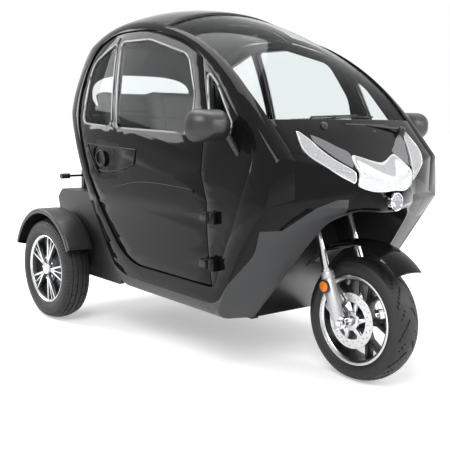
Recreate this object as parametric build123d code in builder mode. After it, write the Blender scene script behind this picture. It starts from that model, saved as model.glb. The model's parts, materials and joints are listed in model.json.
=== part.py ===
"""Enclosed three-wheeled microcar, one steered wheel in front and two behind.

Forward is +X, the vehicle's left is +Y, up is +Z, and the origin is on the ground
at the middle of the overall length. Lengths are in millimetres.
"""

import math
import os

from build123d import *

os.makedirs("parts", exist_ok=True)

# Driving dimensions
wheelbase = 1562.0
body_width = 1000.0
roof_height = 1492.0
sill_height = 232.0
shell_thickness = 26.0
panel_gap = 5.0
seat_gap = 0.3
seam_gap = 0.6
overrun = 60.0

# Wheels and tyres
front_tyre_radius = 243.0
front_tyre_width = 130.0
front_rim_radius = 177.0
rear_tyre_radius = 247.0
rear_tyre_width = 135.0
rear_rim_radius = 166.0
rear_track = 1014.0
guard_radius = 300.0
guard_start = 26.0
guard_sweep = 134.0
rear_overhang = -guard_radius * math.cos(math.radians(guard_start + guard_sweep))
tyre_seat = 0.3
hub_radius = 34.0
axle_radius = 12.0
axle_fit = 0.3

# Steering
rake_angle = 22.0
fork_offset = 40.0
axle_lead = 24.0
fork_leg_spacing = 204.0
stanchion_radius = 16.0
fork_lower_radius = 22.0
column_radius = 18.0
well_depth = 222.0
well_wall = 8.0

# Glass
glass_thickness = 5.0
glass_depth = 7.0
glass_fit = 0.5
door_inset = 5.0

rear_axle_x = -(wheelbase + front_tyre_radius - rear_overhang) / 2
front_axle_x = rear_axle_x + wheelbase
body_rise = roof_height - sill_height
half_width = body_width / 2
far_side = half_width + overrun


def along(share):
    """Place ahead of the rear axle, as a share of the wheelbase."""
    return rear_axle_x + share * wheelbase


def up(share):
    """Height above the sill, as a share of the body's rise."""
    return sill_height + share * body_rise


def out(share):
    """Distance from the centre plane, as a share of the body's half width."""
    return share * half_width


def keep(piece, name):
    """Labels a finished piece and writes its file."""
    piece.label = name
    export_step(piece, f"parts/{name}.step")


def keep_pair(piece, name):
    """Writes a right-hand piece and its mirror image on the left."""
    keep(piece, f"{name}_right")
    keep(mirror(piece, about=Plane.XZ), f"{name}_left")


# Body surface: cross-sections from the tail to the nose
# share of wheelbase, sill y, widest y, widest z, rail y, rail z, roof z, rail radius
body_section_shares = [
    (-0.060, 0.80, 0.90, 0.45, 0.66, 0.840, 0.905, 0.16),
    (0.160, 0.86, 0.97, 0.45, 0.76, 0.905, 0.985, 0.16),
    (0.370, 0.90, 1.00, 0.45, 0.79, 0.930, 1.000, 0.16),
    (0.600, 0.91, 1.00, 0.45, 0.80, 0.870, 0.935, 0.15),
    (0.780, 0.91, 1.00, 0.43, 0.86, 0.755, 0.800, 0.13),
    (0.920, 0.90, 0.99, 0.38, 0.90, 0.600, 0.635, 0.11),
    (1.180, 0.88, 0.97, 0.30, 0.86, 0.385, 0.425, 0.10),
]

# Rear wall in side view, a barrel turned about a distant upright axis
rear_wall_shares = [(0.315, -0.06), (-0.052, 0.700), (0.075, 0.935), (0.30, 1.12)]
rear_wall_radius_shares = (0.50, 0.60)
rear_wall_axis_share = 0.96

# Nose in plan: its tip, how far the face falls back, its lean above the knee, its rake below
nose_tip_share = 1.092
nose_knee_share = 0.371
nose_sweep_slope_share = 0.38
nose_rake_slope_share = 0.68
nose_tip_radius_share = 0.44
nose_corner_radius_share = 0.26


def body_section(row, inset):
    """One closed cross-section of the body surface."""
    x, sill_y, wide_y, wide_z, rail_y, rail_z, top_z, radius = row
    sill = (out(sill_y) - inset, sill_height + inset)
    wide = (out(wide_y) - inset, up(wide_z))
    rail = (out(rail_y) - inset, up(rail_z) - inset)
    top = (0, up(top_z) - inset)
    plane = Plane(origin=(along(x), 0, 0), x_dir=(0, 1, 0), z_dir=(1, 0, 0))
    with BuildSketch(plane) as section:
        with BuildLine():
            Line((-sill[0], sill[1]), sill)
            ThreePointArc(sill, wide, rail)
            ThreePointArc(rail, top, (-rail[0], rail[1]))
            ThreePointArc((-rail[0], rail[1]), (-wide[0], wide[1]), (-sill[0], sill[1]))
        make_face()
        corners = section.vertices().group_by(Axis.Z)[-1]
        fillet(corners, radius=out(radius) - inset / 2)
    return section.sketch.face()


def nose_envelope(inset):
    """Everything behind the nose's front: upright above the knee, raked back below."""
    tip = along(nose_tip_share)
    knee = up(nose_knee_share)
    fall_back = nose_sweep_slope_share * far_side
    back = rear_axle_x - wheelbase
    with BuildPart() as envelope:
        with BuildSketch(Plane.XY.offset(knee)) as plan:
            with BuildLine():
                FilletPolyline(
                    (back, -far_side),
                    (tip - fall_back, -far_side),
                    (tip, 0),
                    (tip - fall_back, far_side),
                    (back, far_side),
                    radius=(
                        out(nose_corner_radius_share),
                        out(nose_tip_radius_share),
                        out(nose_corner_radius_share),
                    ),
                )
                Line((back, far_side), (back, -far_side))
            make_face()
            if inset:
                offset(amount=-inset, kind=Kind.INTERSECTION, mode=Mode.REPLACE)
        extrude(amount=roof_height)
        extrude(
            plan.sketch,
            amount=knee * math.hypot(1, nose_rake_slope_share),
            dir=(-nose_rake_slope_share, 0, -1),
        )
    return envelope.part


def rear_wall_envelope(inset):
    """Everything ahead of the rear wall, which is a barrel about an upright axis."""
    axis_x = along(rear_wall_axis_share)
    with BuildPart() as envelope:
        with BuildSketch(Plane.XZ):
            with BuildLine():
                points = [(along(x), up(z)) for x, z in rear_wall_shares]
                FilletPolyline(*points, radius=[out(r) for r in rear_wall_radius_shares])
                Polyline(
                    points[-1], (axis_x, points[-1][1]), (axis_x, points[0][1]), points[0]
                )
            make_face()
            if inset:
                offset(amount=-inset, kind=Kind.INTERSECTION, mode=Mode.REPLACE)
        revolve(axis=Axis((axis_x - inset, 0, 0), (0, 0, 1)))
    return envelope.part


def body_envelope(inset):
    """The body's outer form, drawn in by inset on every side."""
    with BuildPart() as envelope:
        loft([body_section(row, inset) for row in body_section_shares])
        add(rear_wall_envelope(inset), mode=Mode.INTERSECT)
        add(nose_envelope(inset), mode=Mode.INTERSECT)
    return envelope.part


# Side view outlines: share of wheelbase, share of body rise, corner radius
ring_shares = [
    (0.306, 0.053, 0.55),
    (0.010, 0.620, 0.70),
    (0.048, 0.850, 0.80),
    (0.160, 1.150, 0.10),
    (1.200, 1.150, 0.10),
    (1.200, 0.440, 0.10),
    (0.985, 0.400, 0.30),
    (0.905, 0.226, 0.90),
    (0.790, 0.050, 0.25),
]
opening_shares = [
    (0.385, 0.104, 0.55),
    (0.200, 0.375, 2.00),
    (0.062, 0.640, 0.60),
    (0.100, 0.845, 0.40),
    (0.250, 0.905, 1.00),
    (0.430, 0.912, 1.20),
    (0.620, 0.852, 1.20),
    (0.750, 0.745, 1.50),
    (0.925, 0.530, 0.25),
    (0.880, 0.330, 1.50),
    (0.790, 0.104, 0.12),
]
# The seam between door and quarter panel, from top to bottom
seam_shares = [(0.640, 0.900), (0.736, 0.640), (0.740, 0.450), (0.768, 0.370), (0.779, 0.060)]
seam_radius_share = 0.10

# Window openings of the door, and the quarter panel's
rear_pane_shares = [
    (0.125, 0.585, 0.10),
    (0.128, 0.800, 0.18),
    (0.250, 0.862, 0.16),
    (0.268, 0.868, 0.03),
    (0.310, 0.578, 0.05),
]
front_pane_shares = [
    (0.336, 0.576, 0.05),
    (0.294, 0.872, 0.04),
    (0.430, 0.874, 0.36),
    (0.615, 0.815, 0.20),
    (0.674, 0.690, 0.24),
    (0.682, 0.570, 0.08),
]
quarter_pane_shares = [
    (0.704, 0.764, 0.02),
    (0.758, 0.588, 0.04),
    (0.852, 0.574, 0.05),
    (0.752, 0.722, 0.20),
]
# Half width of the roof, windscreen and cowl between the rings, in plan
strip_shares = [
    (-0.300, 0.50),
    (0.160, 0.70),
    (0.370, 0.73),
    (0.620, 0.75),
    (0.840, 0.80),
    (1.000, 0.77),
    (1.300, 0.77),
]
strip_radius_share = 0.50


def side_face(rows, grow=0.0):
    """Face of a side view outline, on the centre plane."""
    with BuildSketch(Plane.XZ) as outline:
        with BuildLine():
            FilletPolyline(
                *[(along(x), up(z)) for x, z, _ in rows],
                radius=[out(r) for _, _, r in rows],
                close=True,
            )
        make_face()
        if grow:
            offset(amount=grow, mode=Mode.REPLACE)
    return outline.sketch


def side_prism(rows, grow=0.0):
    """Side view outline, extruded outwards on the right."""
    with BuildPart() as prism:
        extrude(side_face(rows, grow), amount=far_side, dir=(0, -1, 0))
    return prism.part


def middle_strip(grow):
    """The strip between the two rings, in plan."""
    right = [(along(x), -(out(y) + grow)) for x, y in strip_shares]
    left = [(x, -y) for x, y in right]
    corners = out(strip_radius_share)
    with BuildPart() as strip:
        with BuildSketch(Plane.XY):
            with BuildLine():
                FilletPolyline(*right, radius=corners)
                FilletPolyline(*left, radius=corners)
                Line(right[0], left[0])
                Line(right[-1], left[-1])
            make_face()
        extrude(amount=roof_height + overrun)
    return strip.part


def ahead_of_seam(shift):
    """Everything ahead of the door's front seam, moved forward by shift."""
    points = [(along(x) + shift, up(z)) for x, z in seam_shares]
    front = points[0][0] + wheelbase
    with BuildPart() as region:
        with BuildSketch(Plane.XZ):
            with BuildLine():
                FilletPolyline(*points, radius=out(seam_radius_share))
                Polyline(points[-1], (front, points[-1][1]), (front, points[0][1]), points[0])
            make_face()
        extrude(amount=far_side)
    return region.part


def steering_plane(height):
    """Plane across the steering axis where that axis is at the given height."""
    rake = math.radians(rake_angle)
    trail = (fork_offset + axle_lead) / math.cos(rake)
    x = front_axle_x - trail - (height - front_tyre_radius) * math.tan(rake)
    return Plane(
        origin=(x, 0, height),
        x_dir=(math.cos(rake), 0, math.sin(rake)),
        z_dir=(-math.sin(rake), 0, math.cos(rake)),
    )


def wedge(first, second, turn_share=(0.45, 0.55), reach=3.0):
    """Slice of the body between two directions, seen from the side."""
    middle = Vector(*turn_share)
    corners = [middle] + [middle + (Vector(*point) - middle) * reach for point in (first, second)]
    with BuildPart() as region:
        with BuildSketch(Plane.XZ):
            with BuildLine():
                Polyline(*[(along(c.X), up(c.Y)) for c in corners], close=True)
            make_face()
        extrude(amount=far_side, both=True)
    return region.part


# Where the centre panels meet: share of wheelbase, share of body rise
tub_rear_share = (0.280, 0.030)
rear_glass_foot_share = (-0.030, 0.620)
rear_glass_head_share = (0.035, 0.900)
screen_head_share = (0.479, 0.970)
screen_foot_share = (0.917, 0.620)
tub_front_share = (0.775, -0.010)
cowl_edge_shares = [(0.840, 0.640), (1.200, 0.335)]

# Mouth of the well behind the front wheel: height, half width and corner radius
mouth_shares = [(0.290, 0.48, 0.20), (0.190, 0.53, 0.40), (-0.120, 0.64, 0.0)]
mouth_top_share = 0.340
mouth_crown_share = 0.62
well_climb = 14.0
well_corner_share = 0.16


def well_form(wall):
    """The hollow that the front wheel and fork turn in, drawn in by wall."""
    top = up(mouth_top_share) - wall
    sides = [(out(y) - wall, up(z), out(r)) for z, y, r in mouth_shares]
    crown = (sides[0][0] * mouth_crown_share, top, sides[0][2])
    left = [crown] + sides
    rows = list(reversed(left)) + [(-y, z, r) for y, z, r in left]
    climb = math.radians(well_climb)
    axis_plane = steering_plane(front_tyre_radius)
    back = Plane(
        origin=axis_plane.origin - axis_plane.x_dir * (well_depth - wall),
        z_dir=axis_plane.x_dir,
    )
    with BuildPart() as well:
        with BuildSketch(Plane.YZ.offset(along(nose_tip_share) + overrun)):
            with BuildLine():
                FilletPolyline(
                    *[(y, z) for y, z, _ in rows], radius=[r for _, _, r in rows], close=True
                )
            make_face()
        extrude(amount=wheelbase / 2, dir=(-math.cos(climb), 0, math.sin(climb)))
        split(bisect_by=back, keep=Keep.TOP)
    return well.part


outer_form = body_envelope(0.0)
inner_form = body_envelope(shell_thickness)
seat_form = body_envelope(-seat_gap)
recess_form = body_envelope(glass_depth + glass_thickness)
shell = outer_form - inner_form
door_form = body_envelope(door_inset)
door_seat_form = body_envelope(door_inset - seat_gap)
glass_form = body_envelope(glass_depth)
door_shell = door_form - inner_form
glass_layer = glass_form - recess_form
well_outer = well_form(0.0)
well_inner = well_form(well_wall)

# Panels round the doors
ring_zone = side_prism(ring_shares) - middle_strip(0.0)
ring_zone_wide = side_prism(ring_shares, grow=seam_gap) - middle_strip(-seam_gap)
rings = (shell & ring_zone) - side_prism(opening_shares) - well_outer
quarter = door_shell & side_prism(opening_shares, grow=-seam_gap) & ahead_of_seam(0.0)
quarter = quarter - side_prism(quarter_pane_shares) - middle_strip(seam_gap)
door = (door_shell & side_prism(opening_shares, grow=-panel_gap)) - ahead_of_seam(-panel_gap)
door = door - middle_strip(panel_gap)
door = door - side_prism(rear_pane_shares) - side_prism(front_pane_shares)
panes = glass_layer & (
    side_prism(rear_pane_shares, grow=-glass_fit) + side_prism(front_pane_shares, grow=-glass_fit)
)
quarter_pane = glass_layer & side_prism(quarter_pane_shares, grow=-glass_fit)

# Panels along the middle
middle_zone = (ring_zone_wide + mirror(ring_zone_wide, about=Plane.XZ)) + well_outer
core = shell - middle_zone
glass_core = glass_layer - middle_zone
roof = core & wedge(rear_glass_head_share, screen_head_share)
rear_panel = core & wedge(tub_rear_share, rear_glass_foot_share)
rear_glass = glass_core & wedge(rear_glass_foot_share, rear_glass_head_share)
screen = glass_core & wedge(screen_head_share, screen_foot_share)
tub = core & wedge(tub_rear_share, tub_front_share)
front = core & wedge(screen_foot_share, tub_front_share)
with BuildPart() as above_cowl_edge:
    with BuildSketch(Plane.XZ):
        with BuildLine():
            low = [(along(x), up(z)) for x, z in cowl_edge_shares]
            Polyline(*low, (low[1][0], roof_height), (low[0][0], roof_height), close=True)
        make_face()
    extrude(amount=far_side, both=True)
cowl_zone = above_cowl_edge.part & nose_envelope(shell_thickness)
cowl = front & cowl_zone
nose = front - cowl_zone
leg_shield = (well_outer - well_inner) & outer_form


# Lamps set into the nose, outlined in the front view: share of half width, share of body rise
headlamp_shares = [(0.0, 0.395), (0.25, 0.424), (0.255, 0.520), (0.0, 0.496)]
running_lamp_shares = [(0.276, 0.432), (0.278, 0.486), (0.592, 0.588), (0.544, 0.526)]
lamp_depth = 14.0
lamp_fit = 0.4
fog_lamp_radius = 34.0
fog_lamp_height = 717.0
fog_lamp_depth = 24.0
fog_lamp_x = rear_axle_x + 1706.0


def front_prism(points, grow=0.0):
    """Front view outline, extruded forwards from the middle of the body."""
    with BuildPart() as prism:
        with BuildSketch(Plane.YZ):
            with BuildLine():
                Polyline(*[(out(y), up(z)) for y, z in points], close=True)
            make_face()
            if grow:
                offset(amount=grow, kind=Kind.INTERSECTION, mode=Mode.REPLACE)
        extrude(amount=wheelbase)
    return prism.part


lamp_skin = nose_envelope(0.0) - nose_envelope(lamp_depth)
headlamp_outline = headlamp_shares + [(-y, z) for y, z in reversed(headlamp_shares[1:-1])]
running_outline = [(-y, z) for y, z in running_lamp_shares]
fog_place = Location((fog_lamp_x, 0, fog_lamp_height), (0, 90, 0))
with BuildPart() as fog_lamp:
    with Locations(fog_place):
        Cylinder(
            fog_lamp_radius, fog_lamp_depth, align=(Align.CENTER, Align.CENTER, Align.MAX)
        )
with BuildPart() as fog_seat:
    with Locations(fog_place):
        Cylinder(fog_lamp_radius + lamp_fit, 2 * overrun)
running_lamp = shell & lamp_skin & front_prism(running_outline, -lamp_fit)
headlamp = (nose & lamp_skin & front_prism(headlamp_outline, -lamp_fit)) - fog_seat.part
headlamp_seat = front_prism(headlamp_outline) & lamp_skin
running_seat = front_prism(running_outline) & lamp_skin
nose = nose - headlamp_seat - running_seat - mirror(running_seat, about=Plane.XZ)
nose = nose - fog_seat.part
rings = rings - running_seat
skirt_shares = [
    (0.300, 0.3015),
    (0.960, 0.3015),
    (1.037, 0.394),
    (1.300, 0.394),
    (1.300, -0.100),
    (0.300, -0.100),
]
skirt_inner_share = 0.37
with BuildPart() as skirt_zone:
    with BuildSketch(Plane.XZ.offset(out(skirt_inner_share))):
        with BuildLine():
            Polyline(*[(along(x), up(z)) for x, z in skirt_shares], close=True)
        make_face()
    extrude(amount=far_side)
nose_skirt = nose & skirt_zone.part
nose = nose - skirt_zone.part - mirror(skirt_zone.part, about=Plane.XZ)
keep(nose, "nose_fairing")
keep_pair(nose_skirt, "nose_skirt")
keep(headlamp, "headlamp")
keep(fog_lamp.part, "fog_lamp")
keep_pair(running_lamp, "running_lamp")
keep_pair(rings, "body_ring")
keep_pair(quarter, "quarter_panel")
keep_pair(panes, "door_window")
keep_pair(quarter_pane, "quarter_window")
keep(roof, "roof_panel")
keep(rear_panel, "rear_panel")
keep(rear_glass, "rear_window")
keep(screen, "windscreen")
keep(tub, "floor_tub")
keep(cowl, "cowl_panel")


# Door hinges: upright pins just outside the front seam
hinge_x = rear_axle_x + 1224.0
hinge_y = half_width + 14.0
hinge_pin_radius = 4.5
hinge_knuckle_radius = 8.0
hinge_knuckle_height = 30.0
hinge_ear_height = 8.0
hinge_leaf = 44.0
hinge_foot = 18.0
hinge_leaf_thickness = 6.0
hinge_fit = 0.3
hinge_reach = 38.0
hinge_heights = (460.0, 640.0)


def hinge_column(height, radius, tall):
    """Upright round solid on the hinge axis, centred on the given height."""
    with BuildPart() as column:
        with Locations((hinge_x, -hinge_y, height)):
            Cylinder(radius, tall)
    return column.part


def hinge_plate(height, start, end, inwards, tall):
    """Upright plate from start to end along X, and inwards to the panel."""
    with BuildPart() as plate:
        with Locations((hinge_x + start, -(hinge_y + hinge_leaf_thickness / 2), height)):
            Box(end - start, inwards, tall, align=(Align.MIN, Align.MIN, Align.CENTER))
    return plate.part


hinge_gap_height = hinge_knuckle_height + 2 * hinge_fit
hinge_whole_height = hinge_gap_height + 2 * hinge_ear_height
hinge_clear = hinge_knuckle_radius + panel_gap
hinge_parts = []
for height in hinge_heights:
    leaf = hinge_plate(height, 0, hinge_leaf, hinge_leaf_thickness, hinge_whole_height)
    leaf = leaf + hinge_column(height, hinge_knuckle_radius, hinge_whole_height)
    leaf = leaf - hinge_column(height, hinge_clear, hinge_gap_height)
    foot = hinge_plate(
        height, hinge_leaf - hinge_foot, hinge_leaf, hinge_reach, hinge_whole_height
    )
    pin = hinge_column(height, hinge_pin_radius, hinge_whole_height)
    hinge_parts.append(leaf + foot - door_seat_form + pin)
    knuckle = hinge_plate(height, -hinge_leaf, 0, hinge_leaf_thickness, hinge_knuckle_height)
    knuckle = knuckle + hinge_plate(
        height, -hinge_leaf, hinge_foot - hinge_leaf, hinge_reach, hinge_knuckle_height
    )
    knuckle = knuckle + hinge_column(height, hinge_knuckle_radius, hinge_knuckle_height)
    bore = hinge_column(height, hinge_pin_radius + hinge_fit, hinge_whole_height)
    door = door + (knuckle - bore)
keep_pair(Compound(children=hinge_parts), "door_hinges")


# Door handle: an oval cup in a tapered recess of the door skin
recess_shares = [
    (0.197, 0.505, 0.06),
    (0.395, 0.500, 0.06),
    (0.350, 0.418, 0.06),
    (0.250, 0.402, 0.10),
]
handle_share = (0.262, 0.462)
handle_length = 96.0
handle_width = 74.0
handle_tilt = -20.0
handle_bowl = 11.0


def handle_oval(shrink):
    """Oval of the handle, extruded outwards on the right."""
    with BuildPart() as oval:
        with BuildSketch(Plane.XZ):
            with Locations((along(handle_share[0]), up(handle_share[1]))):
                Ellipse(
                    handle_length / 2 - shrink, handle_width / 2 - shrink, rotation=handle_tilt
                )
        extrude(amount=far_side)
    return oval.part


recess = side_prism(recess_shares) - recess_form
handle = (shell - recess_form) & handle_oval(seam_gap)
handle = handle - (handle_oval(handle_bowl) - glass_form)
door = door - recess
keep_pair(door, "door")
keep_pair(handle, "door_handle")


# Wheels
bead_share = 0.40
tread_share = 0.42
shoulder_share = 0.10


def tyre(radius, width, rim_radius, centre):
    """Tyre with a crowned tread and bulged walls, turned about its axle."""
    x, y, z = centre
    bead = width * bead_share
    tread = width * tread_share
    shoulder = z + radius - width * shoulder_share
    seat = z + rim_radius + tyre_seat
    with BuildPart() as turned:
        with BuildSketch(Plane.YZ.offset(x)):
            with BuildLine():
                for side in (-1, 1):
                    ThreePointArc(
                        (y + side * bead, seat),
                        (y + side * width / 2, (seat + shoulder) / 2),
                        (y + side * tread, shoulder),
                    )
                ThreePointArc((y - tread, shoulder), (y, z + radius), (y + tread, shoulder))
                Line((y - bead, seat), (y + bead, seat))
            make_face()
        revolve(axis=Axis(centre, (0, 1, 0)))
    return turned.part


rim_wall = 8.0
rim_lip = 6.0
spoke_thickness = 12.0
spoke_width = 24.0
spoke_flank_angle = 88.0
rear_spoke_place_share = 0.30
disc_hub_length = 16.0


def rim(rim_radius, width, centre, spokes, face):
    """Rim with its hub, bore and spokes; face is the spokes' place across the rim."""
    x, y, z = centre
    half = width * tread_share
    with BuildPart() as turned:
        with BuildSketch(Plane.YZ.offset(x)):
            with BuildLine():
                Polyline(
                    (y - half, z + rim_radius),
                    (y + half, z + rim_radius),
                    (y + half, z + rim_radius - rim_lip - rim_wall),
                    (y + half - rim_wall, z + rim_radius - 2 * rim_wall),
                    (y - half + rim_wall, z + rim_radius - 2 * rim_wall),
                    (y - half, z + rim_radius - rim_lip - rim_wall),
                    close=True,
                )
            make_face()
        revolve(axis=Axis(centre, (0, 1, 0)))
        with BuildSketch(Plane(origin=(x, y + face, z), z_dir=(0, 1, 0))):
            Circle(hub_radius)
            with PolarLocations((hub_radius + rim_radius - rim_wall) / 2, spokes):
                Trapezoid(
                    rim_radius - rim_wall - hub_radius + rim_wall,
                    spoke_width,
                    spoke_flank_angle,
                )
        extrude(amount=spoke_thickness / 2, both=True)
        with Locations(Location((x, y, z), (90, 0, 0))):
            Cylinder(hub_radius, 2 * half)
            Cylinder(axle_radius + axle_fit, 4 * half, mode=Mode.SUBTRACT)
    return turned.part


front_centre = (front_axle_x, 0, front_tyre_radius)
rear_centre = (rear_axle_x, -rear_track / 2, rear_tyre_radius)
keep(tyre(front_tyre_radius, front_tyre_width, front_rim_radius, front_centre), "front_tyre")
keep(rim(front_rim_radius, front_tyre_width, front_centre, 6, 0), "front_rim")
keep_pair(tyre(rear_tyre_radius, rear_tyre_width, rear_rim_radius, rear_centre), "rear_tyre")
keep_pair(
    rim(rear_rim_radius, rear_tyre_width, rear_centre, 5, -rear_tyre_width * rear_spoke_place_share), "rear_rim"
)

disc_radius = 110.0
disc_thickness = 4.0
disc_inset = 8.0
disc_y = -(front_tyre_width * tread_share + disc_inset)
with BuildPart() as brake_disc:
    with Locations(Location((front_axle_x, disc_y, front_tyre_radius), (90, 0, 0))):
        Cylinder(disc_radius, disc_thickness)
        Cylinder(hub_radius, disc_hub_length)
        Cylinder(axle_radius + axle_fit, overrun, mode=Mode.SUBTRACT)
keep(brake_disc.part, "brake_disc")


# Steering: column, yoke, legs, handlebar, front fender and brake caliper
leg_y = fork_leg_spacing / 2
leg_foot = steering_plane(front_tyre_radius)
leg_bottom = 24.0
leg_lower_length = 215.0
yoke_height = 442.0
yoke_thickness = 26.0
column_top = 815.0
head_radius = 27.0
head_length = 150.0
bar_set_back = 95.0
bar_half_width = 270.0
bar_radius = 11.0
grip_radius = 16.0
grip_length = 115.0
grip_set_back = 55.0
stem_radius = 15.0
foot_width_share = 0.7
yoke_back_share = 1.6
yoke_front_share = 1.4


def leg_axis_plane(y, rise):
    """Plane across a fork leg, at a distance up the leg from the axle's level."""
    base = leg_foot.origin + leg_foot.x_dir * fork_offset + Vector(0, y, 0)
    axle = Vector(front_axle_x, y, front_tyre_radius)
    start = (axle - base).dot(leg_foot.z_dir)
    return Plane(
        origin=base + leg_foot.z_dir * (start + rise), x_dir=leg_foot.x_dir, z_dir=leg_foot.z_dir
    )


def round_bar(start, end, radius):
    """Round bar between two points."""
    axis = end - start
    with BuildPart() as bar:
        with BuildSketch(Plane(origin=start, z_dir=axis)):
            Circle(radius)
        extrude(amount=axis.length)
    return bar.part


def fork_leg(side):
    """One leg: polished tube above, cast lower leg with its axle foot below."""
    low = leg_axis_plane(side * leg_y, -leg_bottom)
    middle = leg_axis_plane(side * leg_y, leg_lower_length)
    with BuildPart() as leg:
        with BuildSketch(low):
            Circle(fork_lower_radius)
        extrude(amount=leg_bottom + leg_lower_length)
        with BuildSketch(middle):
            Circle(stanchion_radius)
        extrude(amount=yoke_height - leg_lower_length)
        with BuildSketch(Plane.XZ.offset(-side * leg_y)):
            with Locations((front_axle_x, front_tyre_radius)):
                Circle(fork_lower_radius)
        extrude(amount=fork_lower_radius * foot_width_share, both=True)
    return leg.part


axle_reach = leg_y
with BuildPart() as front_axle:
    with Locations(Location(front_centre, (90, 0, 0))):
        Cylinder(axle_radius, 2 * axle_reach)
legs = fork_leg(-1) + fork_leg(1) + front_axle.part
keep(legs, "fork_legs")

yoke_plane = leg_axis_plane(0, yoke_height)
steer_origin = yoke_plane.origin - yoke_plane.x_dir * fork_offset
with BuildPart() as column:
    with BuildSketch(yoke_plane):
        with BuildLine():
            reach = leg_y + stanchion_radius
            FilletPolyline(
                (-fork_offset - column_radius * yoke_back_share, -column_radius * yoke_back_share),
                (stanchion_radius * yoke_front_share, -reach),
                (stanchion_radius * yoke_front_share, reach),
                (-fork_offset - column_radius * yoke_back_share, column_radius * yoke_back_share),
                radius=stanchion_radius,
                close=True,
            )
        make_face()
    extrude(amount=yoke_thickness)
    column_plane = Plane(
        origin=steer_origin, x_dir=yoke_plane.x_dir, z_dir=yoke_plane.z_dir
    )
    with BuildSketch(column_plane):
        Circle(column_radius)
    extrude(amount=column_top - yoke_height)
column_head = steer_origin + yoke_plane.z_dir * (column_top - yoke_height - stem_radius)
bar_middle = column_head - yoke_plane.x_dir * bar_set_back
bar_bend = bar_middle + Vector(0, bar_half_width - grip_length, 0)
bar_tip = bar_middle + Vector(0, bar_half_width, 0) - yoke_plane.x_dir * grip_set_back
half_bar = round_bar(bar_middle, bar_bend, bar_radius) + round_bar(bar_bend, bar_tip, grip_radius)
handlebar = (
    column.part
    + round_bar(column_head, bar_middle, stem_radius)
    + half_bar
    + mirror(half_bar, about=Plane.XZ)
)
keep(handlebar, "handlebar")
head_plane = column_plane.offset(yoke_thickness + panel_gap)
with BuildPart() as steering_head:
    with BuildSketch(head_plane):
        Circle(head_radius)
        Circle(column_radius + axle_fit, mode=Mode.SUBTRACT)
    extrude(amount=head_length)
with BuildPart() as head_bore:
    with BuildSketch(head_plane):
        Circle(head_radius + seat_gap)
    extrude(amount=column_top)
keep(steering_head.part, "steering_head")
keep(leg_shield - head_bore.part, "leg_shield")

fender_radius = 316.0
fender_thickness = 4.0
fender_half_width = 74.0
fender_crown = 12.0
fender_start = 44.0
fender_sweep = 100.0
lug_radius = 9.0
lug_fit = 0.3
lug_place_radius = 297.0
with BuildPart() as front_fender:
    with BuildSketch(Plane.YZ.offset(front_axle_x)):
        with BuildLine():
            edge = front_tyre_radius + fender_radius - fender_crown
            top = front_tyre_radius + fender_radius
            ThreePointArc((-fender_half_width, edge), (0, top), (fender_half_width, edge))
            inner_edge = edge - fender_thickness
            Line((fender_half_width, edge), (fender_half_width - fender_thickness, inner_edge))
            ThreePointArc(
                (fender_half_width - fender_thickness, inner_edge),
                (0, top - fender_thickness),
                (fender_thickness - fender_half_width, inner_edge),
            )
            Line((fender_thickness - fender_half_width, inner_edge), (-fender_half_width, edge))
        make_face()
    revolve(axis=Axis(front_centre, (0, -1, 0)), revolution_arc=fender_sweep)
fender_turn = 90.0 - fender_start
front_fender_form = front_fender.part.rotate(Axis(front_centre, (0, 1, 0)), fender_turn)
lug_rise = math.sqrt(lug_place_radius**2 - axle_lead**2)
lug_place = leg_axis_plane(0, lug_rise).origin
with BuildPart() as lugs:
    with Locations(Location(lug_place, (90, 0, 0))):
        Cylinder(lug_radius, 2 * (leg_y - stanchion_radius - lug_fit))
keep(front_fender_form + lugs.part, "front_fender")

# Caliper straddling the disc behind the right leg, its arm lying against that leg
caliper_length = 92.0
caliper_depth = 58.0
caliper_round = 14.0
caliper_jaw = 10.0
caliper_radius = 96.0
caliper_angle = 144.0
arm_rise = 104.0
arm_width = 30.0
caliper_slot = disc_thickness + 2 * panel_gap
caliper_face = leg_y - fork_lower_radius - seat_gap
caliper_middle = (
    front_axle_x + caliper_radius * math.cos(math.radians(caliper_angle)),
    front_tyre_radius + caliper_radius * math.sin(math.radians(caliper_angle)),
)
arm_end = leg_axis_plane(0, arm_rise).origin
arm_half = ((arm_end.X - caliper_middle[0]) / 2, (arm_end.Z - caliper_middle[1]) / 2)
with BuildPart() as caliper:
    with BuildSketch(Plane.XZ.offset(caliper_face)):
        with Locations(Location((*caliper_middle, 0), (0, 0, caliper_angle))):
            RectangleRounded(caliper_depth, caliper_length, caliper_round)
    extrude(amount=-(caliper_slot + 2 * caliper_jaw))
    with BuildSketch(Plane.XZ.offset(caliper_face)):
        arm_middle = (caliper_middle[0] + arm_half[0], caliper_middle[1] + arm_half[1])
        arm_turn = math.degrees(math.atan2(arm_half[1], arm_half[0]))
        with Locations(Location((*arm_middle, 0), (0, 0, arm_turn))):
            SlotCenterToCenter(2 * math.hypot(*arm_half), arm_width)
    extrude(amount=-caliper_jaw)
    with Locations(Location((front_axle_x, disc_y, front_tyre_radius), (90, 0, 0))):
        Cylinder(disc_radius + panel_gap, caliper_slot, mode=Mode.SUBTRACT)
keep(caliper.part, "brake_caliper")


# Rear axle with its motor, and the frame under the floor
axle_tube_radius = 30.0
brake_room = 22.0
axle_tube_half = rear_track / 2 - rear_tyre_width * tread_share - brake_room
motor_radius = 62.0
motor_length = 230.0
with BuildPart() as rear_axle:
    with Locations(Location((rear_axle_x, 0, rear_tyre_radius), (90, 0, 0))):
        Cylinder(axle_tube_radius, 2 * axle_tube_half)
        Cylinder(axle_radius, rear_track + 2 * hub_radius)
        Cylinder(motor_radius, motor_length)
keep(rear_axle.part, "rear_axle")

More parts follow.
